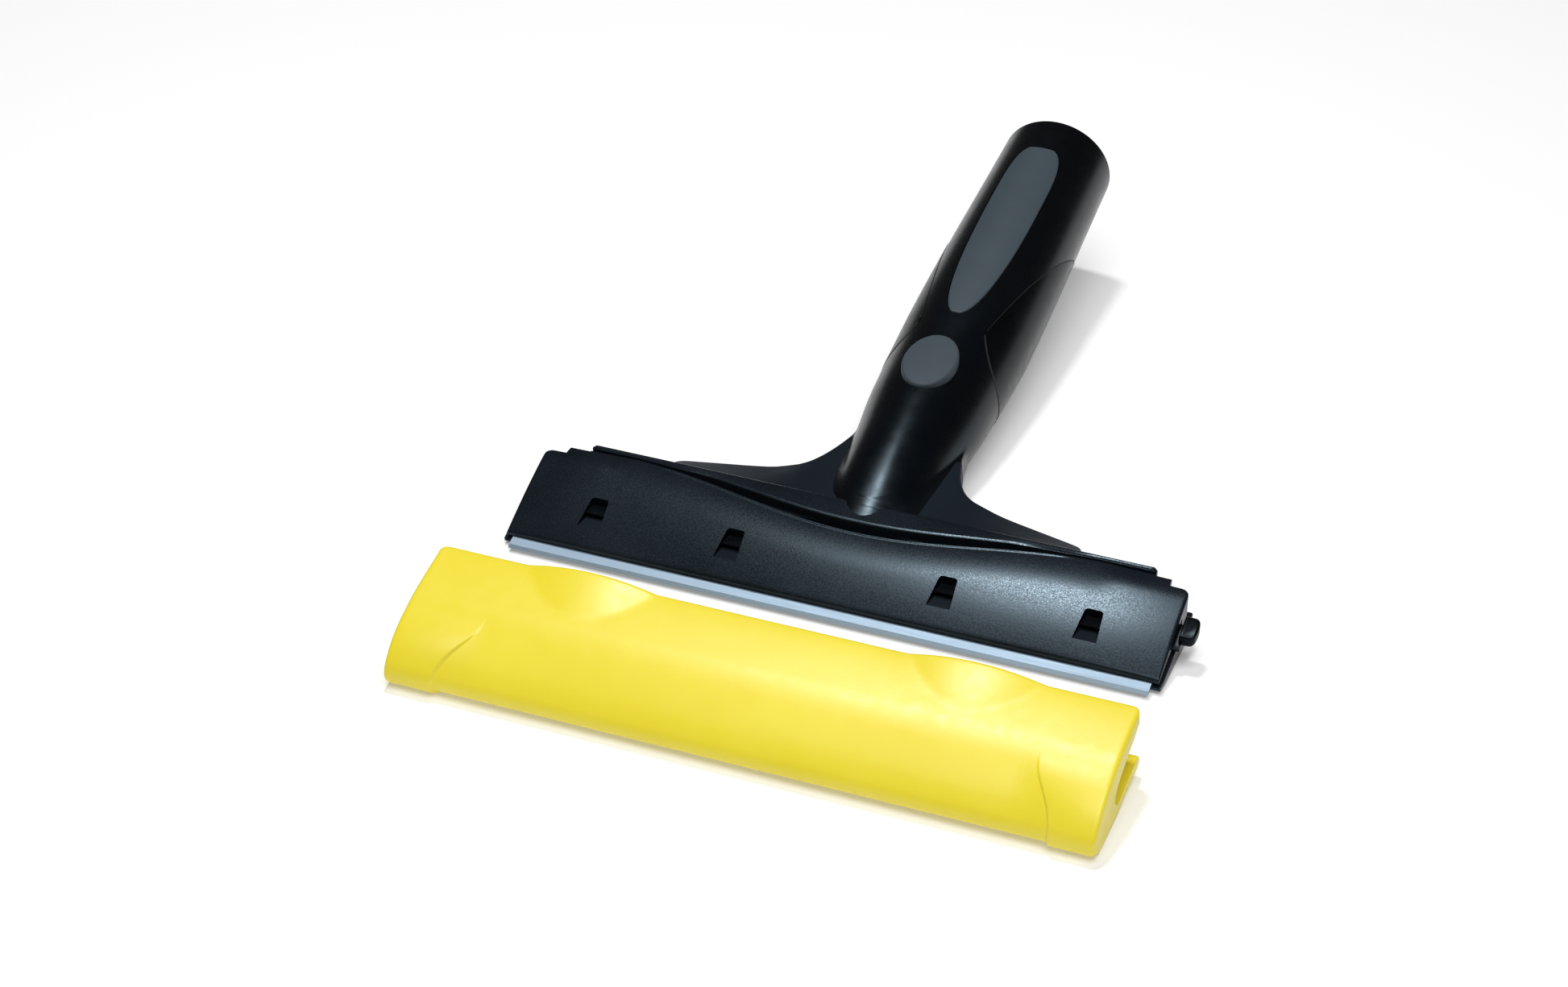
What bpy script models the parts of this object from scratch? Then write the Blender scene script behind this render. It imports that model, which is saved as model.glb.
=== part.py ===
"""Wide glass scraper with a clamped steel blade, a pole-socket handle and a slide-on blade cover.

Every length below is in millimetres and is turned into metres where a point is made.
Design frame: X runs along the blade, Y from the blade's cutting edge back to the handle's butt,
Z up from the surface the tool lies on. An empty shifts this frame so that the model's origin
is on the flat underside of the head.
"""
import math

import bmesh
import bpy
from mathutils import Matrix, Vector

MM = 0.001
GAP = 0.3                      # clearance left between two pieces that touch

# ---- driving dimensions, mm ----
ORIGIN_Y = 14.0                # the model's origin, measured back from the cutting edge

BLADE_LENGTH = 150.0
BLADE_WIDTH = 18.0
BLADE_THICKNESS = 0.5
BLADE_SLOPE = math.radians(15.0)
BLADE_EDGE_Z = 1.2
BLADE_BEVEL = 0.8

JAW_HALF = 77.2                # half length of the lower jaw
JAW_FRONT = 2.5
WALL_HALF = 67.2               # half length of the rear wall
WALL_FRONT = 23.6
WALL_REAR = 29.8
WALL_LEDGE_Z = 10.2            # ledge under the clamp plate's rear edge
RIM_Z = 13.2                   # top of the rim behind the clamp plate

PLATE_HALF = 76.6
PLATE_FRONT = 2.9
PLATE_SHELL = 1.8
PLATE_TAB_HALF = 71.4          # half length of the raised tabs on the plate's rear edge
PLATE_STEP_REAR = 25.2
PLATE_TAB_REAR = 27.3
HINGE_Y = 22.4
HINGE_Z = 7.6
WINDOW_CENTRES = (25.1, 58.35)
WINDOW_FRONT = 7.5
WINDOW_REAR = 14.9
WINDOW_STEP = 12.3              # where a window's floor gives way to the hole
WINDOW_HALF_FRONT = 2.75
WINDOW_HALF_REAR = 2.05

WEB_TIP_HALF = 53.0            # where the web's wings run out into the rear wall
WEB_START = 32.0               # where the webs begin, along the handle's axis
WEB_TOP_Z = 12.9
WEB_EDGE_Z = 8.3
WEB_UNDER_Z = 5.2
WEB_FILLET = 2.6

HANDLE_TILT = math.radians(11.11)
AXIS_Z0 = -3.2                 # height of the handle's axis above the cutting edge
HANDLE_END = 172.0
SOCKET_RADIUS = 11.0
SOCKET_START = 97.3
NOSE_RADIUS = 8.5
NOSE_START = 84.0
SLEEVE_OUTER = 10.7
SLEEVE_INNER = 9.2

BUTTON_S = 76.4
BUTTON_HALF_WIDTH = 6.4
BUTTON_HALF_LENGTH = 9.05
BUTTON_TRAVEL = 1.4
BUTTON_BASE_N = 13.2
YOKE_S = 90.2
YOKE_OUTER = 10.1
YOKE_INNER = 8.8
YOKE_DEPTH = 4.0
SPRING_S = 74.0
SPRING_LOW_N = 5.2
ARM_START = 69.5
ARM_END = 91.5
ARM_HALF_WIDTH = 4.5
ARM_LOW_N = 10.4
ARM_HIGH_N = 12.9

PAD_START = 94.6
PAD_WIDEST = 128.0
PAD_END = 160.7
PAD_HALF_WIDTH = 7.4
INLAY_DEPTH = 1.2

KNOB_FRONT = 13.0              # outline of the release knob at the slider's end
KNOB_REAR = 18.0
KNOB_LOW = 5.6
KNOB_HIGH = 9.2

COVER_HALF = 78.9
COVER_CENTRE_X = 1.5

# handle stations: distance along the axis, then radius up, sideways and down
HANDLE_STATIONS = (
    (28, 11.2, 11.9, 1.6), (30.6, 12.2, 12.6, 2.0), (34, 13.1, 13.1, 2.7), (42, 13.3, 13.3, 4.3),
    (50, 13.5, 13.4, 6.0), (60, 14.1, 14.0, 7.9), (70, 14.7, 14.6, 9.9), (80, 15.0, 14.9, 11.9),
    (90, 15.0, 15.1, 14.2), (100, 15.1, 15.3, 16.35), (110, 15.1, 15.3, 16.4), (120, 15.0, 15.2, 16.0),
    (135, 14.8, 14.9, 15.3), (150, 14.5, 14.5, 14.7), (163, 14.2, 14.2, 14.2), (170.5, 14.0, 14.0, 14.0),
    (172, 13.3, 13.3, 13.3),
)
WEB_RINGS = (28.0, 30.6, 32.2, 33.4, 35.0, 37.0, 39.5, 42.0, 45.0, 48.0, 50.5, 53.0, 55.5, 58.0)

# ---- materials: colour, roughness, metallic ----
FINISHES = {
    "black_plastic": ((0.012, 0.014, 0.018), 0.38, 0.0),
    "soft_black": ((0.010, 0.011, 0.013), 0.62, 0.0),
    "slate_rubber": ((0.060, 0.080, 0.096), 0.60, 0.0),
    "yellow_plastic": ((0.86, 0.66, 0.010), 0.36, 0.0),
    "blade_steel": ((0.60, 0.66, 0.71), 0.30, 1.0),
    "spring_steel": ((0.42, 0.43, 0.45), 0.32, 1.0),
    "liner_plastic": ((0.055, 0.058, 0.062), 0.50, 0.0),
}


def clear_scene():
    for item in list(bpy.data.objects):
        bpy.data.objects.remove(item, do_unlink=True)


def material(name):
    existing = bpy.data.materials.get(name)
    if existing:
        return existing
    colour, roughness, metallic = FINISHES[name]
    made = bpy.data.materials.new(name)
    made.use_nodes = True
    shader = made.node_tree.nodes["Principled BSDF"]
    shader.inputs["Base Color"].default_value = (*colour, 1.0)
    shader.inputs["Roughness"].default_value = roughness
    shader.inputs["Metallic"].default_value = metallic
    return made


def point(x, y, z):
    return Vector((x, y, z)) * MM


# ---- building blocks ----
def loft(bm, rings):
    """Join closed rings of equal length into one body, capped at both ends."""
    rows = [[bm.verts.new(p) for p in ring] for ring in rings]
    count = len(rows[0])
    for first, second in zip(rows, rows[1:]):
        for i in range(count):
            j = (i + 1) % count
            bm.faces.new((first[i], first[j], second[j], second[i]))
    bm.faces.new(list(reversed(rows[0])))
    bm.faces.new(rows[-1])


def shell(bm, outer, inner):
    """Close two grids of points, one above the other, into one body."""
    top = [[bm.verts.new(p) for p in row] for row in outer]
    low = [[bm.verts.new(p) for p in row] for row in inner]
    rows, columns = len(top), len(top[0])
    for i in range(rows - 1):
        for j in range(columns - 1):
            bm.faces.new((top[i][j], top[i + 1][j], top[i + 1][j + 1], top[i][j + 1]))
            bm.faces.new((low[i][j], low[i][j + 1], low[i + 1][j + 1], low[i + 1][j]))
    for i in range(rows - 1):
        bm.faces.new((top[i][0], low[i][0], low[i + 1][0], top[i + 1][0]))
        bm.faces.new((top[i][-1], top[i + 1][-1], low[i + 1][-1], low[i][-1]))
    for j in range(columns - 1):
        bm.faces.new((top[0][j], top[0][j + 1], low[0][j + 1], low[0][j]))
        bm.faces.new((top[-1][j], low[-1][j], low[-1][j + 1], top[-1][j + 1]))


def prism(bm, outline, x_low, x_high):
    """Extrude an outline of (y, z) points along X."""
    loft(bm, [[point(x, y, z) for y, z in outline] for x in (x_low, x_high)])


def box(bm, low, high):
    outline = [(low[1], low[2]), (high[1], low[2]), (high[1], high[2]), (low[1], high[2])]
    prism(bm, outline, low[0], high[0])


def make(name, bm, finish=None, origin=(0.0, 0.0, 0.0)):
    """Turn a bmesh in the design frame into an object whose origin is at the given point."""
    bmesh.ops.recalc_face_normals(bm, faces=bm.faces)
    bmesh.ops.translate(bm, verts=bm.verts, vec=-point(*origin))
    mesh = bpy.data.meshes.new(name)
    bm.to_mesh(mesh)
    bm.free()
    mesh.shade_smooth()
    mesh.set_sharp_from_angle(angle=math.radians(32))
    item = bpy.data.objects.new(name, mesh)
    item.location = point(*origin)
    item.parent = design_frame
    bpy.context.scene.collection.objects.link(item)
    if finish:
        mesh.materials.append(material(finish))
    else:
        item.hide_render = True
        item.display_type = "WIRE"
    return item


def boolean(target, tool, operation):
    modifier = target.modifiers.new(tool.name, "BOOLEAN")
    modifier.operation = operation
    modifier.solver = "EXACT"
    modifier.object = tool


def cut(target, name, bm):
    boolean(target, make(name, bm), "DIFFERENCE")


def add(target, name, bm):
    boolean(target, make(name, bm), "UNION")


# ---- the blade's plane ----
def blade_z(y):
    return BLADE_EDGE_Z + y * math.tan(BLADE_SLOPE)


def blade_skin():
    """Height of half the blade's thickness, measured straight up."""
    return BLADE_THICKNESS / 2 / math.cos(BLADE_SLOPE)


def on_blade(along, normal):
    """(y, z) of a point given by its distance along the blade and above its middle plane."""
    y = along * math.cos(BLADE_SLOPE) - normal * math.sin(BLADE_SLOPE)
    z = BLADE_EDGE_Z + along * math.sin(BLADE_SLOPE) + normal * math.cos(BLADE_SLOPE)
    return y, z


# ---- the handle's surface ----
def lerp(a, b, t):
    return a + (b - a) * t


def handle_radii(s):
    for low, high in zip(HANDLE_STATIONS, HANDLE_STATIONS[1:]):
        if s <= high[0]:
            t = (s - low[0]) / (high[0] - low[0])
            return [lerp(a, b, t) for a, b in zip(low[1:], high[1:])]
    return list(HANDLE_STATIONS[-1][1:])


def on_handle(s, x, n):
    """Point at distance s along the handle's axis, x sideways and n above the axis."""
    y = s * math.cos(HANDLE_TILT) - n * math.sin(HANDLE_TILT)
    z = AXIS_Z0 + s * math.sin(HANDLE_TILT) + n * math.cos(HANDLE_TILT)
    return point(x, y, z)


def handle_skin(s, angle, offset=0.0):
    """Point on the handle's surface; the angle is 0 on top and grows towards +X."""
    up, side, down = handle_radii(s)
    vertical = up if math.cos(angle) >= 0 else down
    return on_handle(s, (side + offset) * math.sin(angle), (vertical + offset) * math.cos(angle))


def round_ring(s, radius, raised=0.0, dropped=0.0, count=40):
    """A circle across the axis; its upper and lower halves may be moved apart."""
    ring = []
    for i in range(count):
        a = 2 * math.pi * (i + 0.5) / count
        shift = raised if math.cos(a) > 0 else -dropped
        ring.append(on_handle(s, radius * math.sin(a), radius * math.cos(a) + shift))
    return ring


def bored(bm, radius, start, end, raised=0.0, dropped=0.0):
    loft(bm, [round_ring(s, radius, raised, dropped) for s in (start, end)])


def oval_ring(n, half_width, half_length, count=40):
    ring = []
    for i in range(count):
        a = 2 * math.pi * i / count
        ring.append(on_handle(BUTTON_S + half_length * math.cos(a), half_width * math.sin(a), n))
    return ring


# ---- outlines of the inlays on the handle ----
def pad_half_width(s):
    if s < PAD_WIDEST:
        t = (PAD_WIDEST - s) / (PAD_WIDEST - PAD_START)
        power = 1.9
    else:
        t = (s - PAD_WIDEST) / (PAD_END - PAD_WIDEST)
        power = 2.6
    return PAD_HALF_WIDTH * max(0.0, 1 - min(1.0, t) ** power) ** (1 / power)


def pad_grid(offset, spread, rows=22, columns=8):
    grid = []
    for i in range(rows + 1):
        s = lerp(PAD_START, PAD_END, 0.5 - 0.5 * math.cos(math.pi * lerp(0.06, 0.94, i / rows)))
        half = (pad_half_width(s) + spread) / handle_radii(s)[1]
        shift = spread * (2 * i / rows - 1)
        row = [handle_skin(s + shift, lerp(-half, half, j / columns), offset) for j in range(columns + 1)]
        grid.append(row)
    return grid


GRIP_EDGE = math.radians(33)


def grip_front(angle):
    reach = math.degrees(angle) - 33
    return 91 - 11 * (1 - math.exp(-reach / 20))


def grip_rear(angle):
    reach = math.degrees(angle) - 33
    return 93 + 55 * (1 - math.exp(-reach / 35))


def grip_grid(offset, spread, rows=44, columns=8):
    grid = []
    for i in range(rows + 1):
        edge = GRIP_EDGE - spread / 15
        angle = lerp(edge, 2 * math.pi - edge, i / rows)
        reach = max(GRIP_EDGE, min(angle, 2 * math.pi - angle))
        front = grip_front(reach) - spread
        rear = grip_rear(reach) + spread
        row = [handle_skin(lerp(front, rear, j / columns), angle, offset) for j in range(columns + 1)]
        grid.append(row)
    return grid


# ---- the clamp plate's surface ----
def plate_top(y):
    lift = 0.5 * (y - 3) - 0.0041 * (y - 3) ** 2
    roll = 0.03 * max(0.0, y - 22) ** 2
    return 3.7 + lift - roll


def plate_wave(x):
    """Rear edge of the clamp plate: it swings towards the blade in the middle."""
    return 21.5 + 3.15 * (1 - math.cos(math.pi * min(abs(x), 58.0) / 58.0))


def rim_front(x):
    gap = lerp(1.9, GAP + 0.1, min(1.0, abs(x) / 52.0))
    return plate_wave(x) + gap


def web_rear(x):
    """Rear outline of the two webs, seen from above."""
    x = abs(x)
    sweep = 49.5 - 0.25 * x + 10.1 * math.exp(-(x - 14.4) / 4.2)
    run_out = max(0.0, x - 49.0) / (WEB_TIP_HALF - 49.0)
    return lerp(min(60.0, sweep), WALL_REAR + 0.5, min(1.0, run_out))


def web_heights(x, s):
    """Upper and lower faces of the web, as heights above the handle's axis."""
    limits = []
    rear = web_rear(x)
    for root, edge in ((WEB_TOP_Z, WEB_EDGE_Z), (0.8, WEB_UNDER_Z)):
        z = edge
        for _ in range(3):
            y = (s - (z - AXIS_Z0) * math.sin(HANDLE_TILT)) / math.cos(HANDLE_TILT)
            t = min(1.0, max(0.0, (y - WALL_REAR + 0.4) / (rear - WALL_REAR + 0.4)))
            z = lerp(root, edge, t)
        limits.append((z - AXIS_Z0) * math.cos(HANDLE_TILT) - y * math.sin(HANDLE_TILT))
    return limits


def web_half_width(s):
    """How far the web reaches sideways at one distance along the handle's axis."""
    if s < WEB_START:
        return 0.0
    low, high = 8.0, WEB_TIP_HALF
    reach = (WEB_EDGE_Z - AXIS_Z0) * math.sin(HANDLE_TILT)
    for _ in range(24):
        x = (low + high) / 2
        if web_rear(x) * math.cos(HANDLE_TILT) + reach > s:
            low = x
        else:
            high = x
    return low


def body_gap(x, n, s, half_width):
    """Distance-like value, negative inside the handle and its webs, blended by a fillet."""
    up, side, down = handle_radii(s)
    vertical = up if n >= 0 else down
    size = math.hypot(x, n)
    if size < 0.001:
        return -side
    neck = size - 1 / math.hypot(x / size / side, n / size / vertical)
    if half_width < 9:
        return neck
    top, under = web_heights(min(x, half_width), s)
    corner = 0.9
    across = x - half_width + corner
    along = abs(n - (top + under) / 2) - (top - under) / 2 + corner
    web = math.hypot(max(across, 0), max(along, 0)) + min(max(across, along), 0.0) - corner
    blend = max(0.0, WEB_FILLET - abs(neck - web)) / WEB_FILLET
    return min(neck, web) - blend * blend * WEB_FILLET / 4


def edge_between(gap, inside, outside):
    """Find where a gap function changes sign."""
    for _ in range(26):
        middle = (inside + outside) / 2
        if gap(middle) < 0:
            inside = middle
        else:
            outside = middle
    return inside


def body_ring(s, around, across):
    """Half outline of the handle and one web, from the top round to the bottom."""
    half_width = web_half_width(s)
    up, side, down = handle_radii(s)
    if half_width < 9:
        top, under = 0.25 * up, -0.25 * down
    else:
        top, under = web_heights(min(side, half_width), s)
    first = math.acos(min(1.0, max(0.15, (top + 2.2) / up)))
    last = math.pi - math.acos(min(0.97, max(0.15, (2.2 - under) / down)))
    middle = (top + under) / 2

    def along_ray(angle):
        def gap(size):
            return body_gap(size * math.sin(angle), size * math.cos(angle), s, half_width)
        size = edge_between(gap, 0.0, max(up, down) + 1.5)
        return size * math.sin(angle), size * math.cos(angle)

    points = [along_ray(first * i / around) for i in range(around + 1)]
    tip = edge_between(lambda x: body_gap(x, middle, s, half_width), 0.0, WEB_TIP_HALF + 2)
    bottom = [along_ray(lerp(last, math.pi, i / around)) for i in range(around + 1)]
    fractions = [1 - (1 - i / across) ** 2 for i in range(1, across)]
    for f in fractions:
        x = lerp(points[around][0], tip, f)
        points.append((x, edge_between(lambda n: body_gap(x, n, s, half_width), middle, up + 2)))
    points.append((tip, middle))
    for f in reversed(fractions):
        x = lerp(bottom[0][0], tip, f)
        points.append((x, edge_between(lambda n: body_gap(x, n, s, half_width), middle, -down - 2)))
    return points + bottom


def body_rings(stations, around, across):
    rings = []
    for s in stations:
        half = body_ring(s, around, across)
        whole = half + [(-x, n) for x, n in reversed(half[1:-1])]
        rings.append([on_handle(s, x, n) for x, n in whole])
    return rings


# ---- pieces ----
def build_handle_body():
    stations = list(WEB_RINGS) + [s for s, *_ in HANDLE_STATIONS if s > WEB_RINGS[-1]]
    bm = bmesh.new()
    loft(bm, body_rings(stations, 8, 8))
    body = make("handle_body", bm, "black_plastic")

    bed = blade_skin() + GAP
    stop = BLADE_WIDTH * math.cos(BLADE_SLOPE) + 0.4
    bm = bmesh.new()
    prism(bm, [
        (JAW_FRONT, 0.8), (6.0, 0.0), (27.0, 0.0), (27.0, 5.2), (23.4, 5.2), (23.4, 2.2), (19.3, 2.2),
        (19.3, 6.2), (stop, 6.2), (stop, blade_z(stop) - bed), (JAW_FRONT, blade_z(JAW_FRONT) - bed),
    ], -JAW_HALF, JAW_HALF)
    add(body, "jaw_form", bm)

    bm = bmesh.new()
    box(bm, (-WALL_HALF, WALL_FRONT, 0.0), (WALL_HALF, WALL_REAR, WALL_LEDGE_Z))
    add(body, "rear_wall_form", bm)

    bm = bmesh.new()
    rings = []
    for i in range(41):
        x = lerp(-WALL_HALF, WALL_HALF, i / 40)
        front = rim_front(x)
        outline = [(front, 9.0), (front, RIM_Z - 0.4), (front + 0.4, RIM_Z), (WALL_REAR - 0.5, RIM_Z)]
        outline += [(WALL_REAR, RIM_Z - 0.5), (WALL_REAR, 9.0)]
        rings.append([point(x, y, z) for y, z in outline])
    loft(bm, rings)
    add(body, "rim_form", bm)

    bm = bmesh.new()
    prism(bm, [
        (28.9, 0.2), (32.4, 0.6), (32.0, 6.0), (30.1, 12.4), (29.4, WEB_TOP_Z), (28.9, WEB_TOP_Z),
    ], 0.7 - WEB_TIP_HALF, WEB_TIP_HALF - 0.7)
    add(body, "web_root_form", bm)

    for side, word in ((-1, "left"), (1, "right")):
        bm = bmesh.new()
        ends = sorted((side * 69.5, side * 74.8))
        box(bm, (ends[0], 20.4, 1.0), (ends[1], 24.6, 9.3))
        add(body, "hinge_lug_form_" + word, bm)
    bm = bmesh.new()
    box(bm, (43.0, 21.3, 1.0), (63.0, 24.4, 8.8))
    add(body, "detent_seat_form", bm)

    bm = bmesh.new()
    bored(bm, SOCKET_RADIUS, SOCKET_START, HANDLE_END + 2)
    cut(body, "socket_cut", bm)
    bm = bmesh.new()
    bored(bm, NOSE_RADIUS, NOSE_START, SOCKET_START + 1)
    cut(body, "socket_nose_cut", bm)

    travel = BUTTON_TRAVEL + 0.1
    bm = bmesh.new()
    spread = GAP + 0.05
    oval = (BUTTON_HALF_WIDTH + spread, BUTTON_HALF_LENGTH + spread)
    loft(bm, [oval_ring(n, *oval) for n in (BUTTON_BASE_N - travel - GAP, 18.0)])
    cut(body, "button_hole_cut", bm)
    half = YOKE_DEPTH / 2 + GAP
    bm = bmesh.new()
    bored(bm, YOKE_OUTER + GAP, YOKE_S - half, YOKE_S + half, BUTTON_TRAVEL, travel)
    cut(body, "yoke_slot_cut", bm)
    bm = bmesh.new()
    channel = (ARM_START - GAP, ARM_END + GAP, ARM_HALF_WIDTH + GAP)
    handle_block(bm, *channel, ARM_LOW_N - travel, ARM_HIGH_N + GAP)
    cut(body, "yoke_arm_cut", bm)
    bm = bmesh.new()
    upright_cylinder(bm, SPRING_S, 3.1, SPRING_LOW_N - GAP, ARM_LOW_N)
    cut(body, "lock_spring_cut", bm)

    bm = bmesh.new()
    shell(bm, pad_grid(1.5, GAP), pad_grid(-INLAY_DEPTH - GAP, GAP))
    cut(body, "pad_recess_cut", bm)
    bm = bmesh.new()
    shell(bm, grip_grid(1.5, GAP), grip_grid(-INLAY_DEPTH - GAP, GAP))
    cut(body, "grip_recess_cut", bm)

    bm = bmesh.new()
    floor = blade_skin() + GAP + 0.5 + GAP
    prism(bm, [(4.7, blade_z(4.7) - floor), (16.3, blade_z(16.3) - floor),
               (16.3, blade_z(16.3) + 1), (4.7, blade_z(4.7) + 1)], -72.3, 72.3)
    cut(body, "bed_recess_cut", bm)
    for i, x in enumerate(RIVET_X):
        bm = bmesh.new()
        blade_pin(bm, x, [(1.2, -3.3), (1.2, 0.0)])
        cut(body, "rivet_hole_cut_%d" % (i + 1), bm)
    bm = bmesh.new()
    for side in (-1, 1):
        cross_pin(bm, 1.1, side * 69.0, side * 76.0)
    cut(body, "hinge_hole_cut", bm)
    return body


def handle_block(bm, s_low, s_high, half_width, n_low, n_high):
    """A box in the handle's own frame."""
    rings = []
    for s in (s_low, s_high):
        corners = ((-half_width, n_low), (half_width, n_low), (half_width, n_high), (-half_width, n_high))
        rings.append([on_handle(s, x, n) for x, n in corners])
    loft(bm, rings)


def upright_cylinder(bm, s, radius, n_low, n_high, count=20):
    """A cylinder that stands across the handle's axis."""
    rings = []
    for n in (n_low, n_high):
        ring = []
        for i in range(count):
            a = 2 * math.pi * i / count
            ring.append(on_handle(s + radius * math.cos(a), radius * math.sin(a), n))
        rings.append(ring)
    loft(bm, rings)


RIVET_X = (-62.0, -21.0, 21.0, 62.0)
RIVET_ALONG = 10.8


def blade_pin(bm, x, profile, count=16):
    """A turned pin square to the blade; the profile is (radius, height above the blade's middle)."""
    rings = []
    for radius, height in profile:
        ring = []
        for i in range(count):
            a = 2 * math.pi * i / count
            y, z = on_blade(RIVET_ALONG + radius * math.sin(a), height)
            ring.append(point(x + radius * math.cos(a), y, z))
        rings.append(ring)
    loft(bm, rings)


def cross_pin(bm, radius, x_low, x_high, count=20):
    rings = []
    for x in (x_low, x_high):
        ring = []
        for i in range(count):
            a = 2 * math.pi * i / count
            ring.append(point(x, HINGE_Y + radius * math.cos(a), HINGE_Z + radius * math.sin(a)))
        rings.append(ring)
    loft(bm, rings)


def build_clamp_plate():
    """A convex shell with a thick front lip, end walls and four trapezoid windows."""
    stations = [0, 6, 12, 18, 24, 30, 36, 42, 48, 54, 60, 66.9, 67.35, 71.3, 71.5, 74.0, 75.3, 75.5, 76.2, PLATE_HALF]
    stations = [-x for x in reversed(stations[1:])] + stations
    fractions = (0.0, 0.06, 0.135, 0.15, 0.3, 0.45, 0.6, 0.66, 0.72, 0.82, 0.92, 0.98, 1.0)
    top, low = [], []
    for x in stations:
        reach = abs(x)
        rear = plate_wave(x)
        lift = 0.0
        if reach > 67:
            rear = PLATE_TAB_REAR
            lift = 0.5
        if reach > PLATE_TAB_HALF:
            corner = max(0.0, reach - 74.6) / 2.0
            rear = PLATE_STEP_REAR - 2.0 * (1 - math.sqrt(max(0.0, 1 - corner ** 2)))
            lift = 0.0
        edge_drop = 0.25 * max(0.0, reach - 75.4) ** 2
        top_row, low_row = [], []
        for f in fractions:
            y = lerp(PLATE_FRONT, rear, f)
            rear_round = 0.7 * max(0.0, (f - 0.92) / 0.08) ** 2
            tab = lift * max(0.0, min(1.0, (y - 20.0) / 3.0))
            z = plate_top(y) - rear_round - edge_drop + tab
            under = plate_top(y) - PLATE_SHELL + tab
            if f < 0.14:
                under = blade_z(y) + blade_skin() + GAP
            if reach > 75.4:
                under = blade_z(y) + 0.75 if y < 20.0 else 5.6
            top_row.append(point(x, y, z))
            low_row.append(point(x, y, min(under, plate_top(y) - 1.2)))
        top.append(top_row)
        low.append(low_row)
    bm = bmesh.new()
    shell(bm, top, low)
    plate = make("clamp_plate", bm, "black_plastic", (0.0, HINGE_Y, HINGE_Z))

    windows = bmesh.new()
    for centre in [side * c for side in (-1, 1) for c in WINDOW_CENTRES]:
        window_cutter(windows, centre)
    cut(plate, "window_cut", windows)

    bm = bmesh.new()
    prism(bm, [(11.6, 3.0), (19.5, 3.0), (19.5, 8.75), (11.6, 6.0)], 75.0, 80.0)
    cut(plate, "knob_notch_cut", bm)
    bm = bmesh.new()
    for side in (-1, 1):
        cross_pin(bm, 1.1, side * 70.0, side * 76.1)
    cut(plate, "plate_hinge_cut", bm)
    return plate


def window_cutter(bm, centre):
    """A trapezoid pocket with a sloping floor, open right through at its rear."""
    profile = ((WINDOW_FRONT, -0.35), (WINDOW_STEP, -1.1), (WINDOW_STEP, -3.0), (WINDOW_REAR, -3.0),
               (WINDOW_REAR, 2.0), (WINDOW_FRONT, 2.0))
    rings = []
    for side in (-1, 1):
        ring = []
        for y, depth in profile:
            t = (y - WINDOW_FRONT) / (WINDOW_REAR - WINDOW_FRONT)
            half = lerp(WINDOW_HALF_FRONT, WINDOW_HALF_REAR, t)
            ring.append(point(centre + side * half, y, plate_top(y) + depth))
        rings.append(ring)
    loft(bm, rings)


def build_release_slider():
    bm = bmesh.new()
    prism(bm, [(12.0, 5.05), (18.9, 6.9), (18.9, 8.3), (12.0, 5.6)], -72.0, 78.6)
    slider = make("release_slider", bm, "black_plastic")
    bm = bmesh.new()
    rings = []
    for x, inset in ((77.7, 0.0), (80.2, 0.0), (80.9, 0.35), (81.3, 1.0)):
        low, high = KNOB_LOW + inset, KNOB_HIGH - inset
        front, rear = KNOB_FRONT + inset, KNOB_REAR - inset
        outline = [(front, low), (rear - 1.0, low + 1.1), (rear, low + 1.7), (rear, high - 0.5)]
        outline += [(rear - 0.6, high), (front + 0.6, high - 0.5), (front, high - 1.1)]
        rings.append([point(x, y, z) for y, z in outline])
    loft(bm, rings)
    add(slider, "knob_form", bm)
    return slider


def build_blade():
    half = BLADE_THICKNESS / 2
    outline = [on_blade(0, -half), on_blade(BLADE_WIDTH, -half), on_blade(BLADE_WIDTH, half)]
    outline.append(on_blade(BLADE_BEVEL, half))
    bm = bmesh.new()
    prism(bm, outline, -BLADE_LENGTH / 2, BLADE_LENGTH / 2)
    return make("blade", bm, "blade_steel")


def build_blade_bed():
    high = -BLADE_THICKNESS / 2 - GAP
    low = high - 0.5
    outline = [on_blade(5.2, low), on_blade(16.4, low), on_blade(16.4, high), on_blade(5.2, high)]
    bm = bmesh.new()
    prism(bm, outline, -72.0, 72.0)
    bed = make("blade_bed", bm, "spring_steel")
    bm = bmesh.new()
    for x in RIVET_X:
        blade_pin(bm, x, [(1.8, low - 1), (1.8, high + 1)])
    cut(bed, "bed_hole_cut", bm)
    for i, x in enumerate(RIVET_X):
        bm = bmesh.new()
        head = high - 0.05
        blade_pin(bm, x, [(0.8, -3.0), (0.9, -2.8), (0.9, low), (1.5, low), (1.5, head - 0.1), (1.3, head)])
        make("bed_rivet_%d" % (i + 1), bm, "spring_steel")


def coil(name, base, direction, length, radius, wire, turns):
    """A compression spring: a round wire carried along a helix."""
    across = Vector((1.0, 0.0, 0.0))
    other = direction.cross(across)
    steps = turns * 10
    rings = []
    for i in range(steps + 1):
        a = 2 * math.pi * i / 10
        outward = across * math.cos(a) + other * math.sin(a)
        centre = base + (outward * radius + direction * lerp(wire / 2, length - wire / 2, i / steps)) * MM
        ring = []
        for j in range(6):
            b = 2 * math.pi * j / 6
            ring.append(centre + (outward * math.cos(b) + direction * math.sin(b)) * wire / 2 * MM)
        rings.append(ring)
    bm = bmesh.new()
    loft(bm, rings)
    make(name, bm, "spring_steel")


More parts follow.
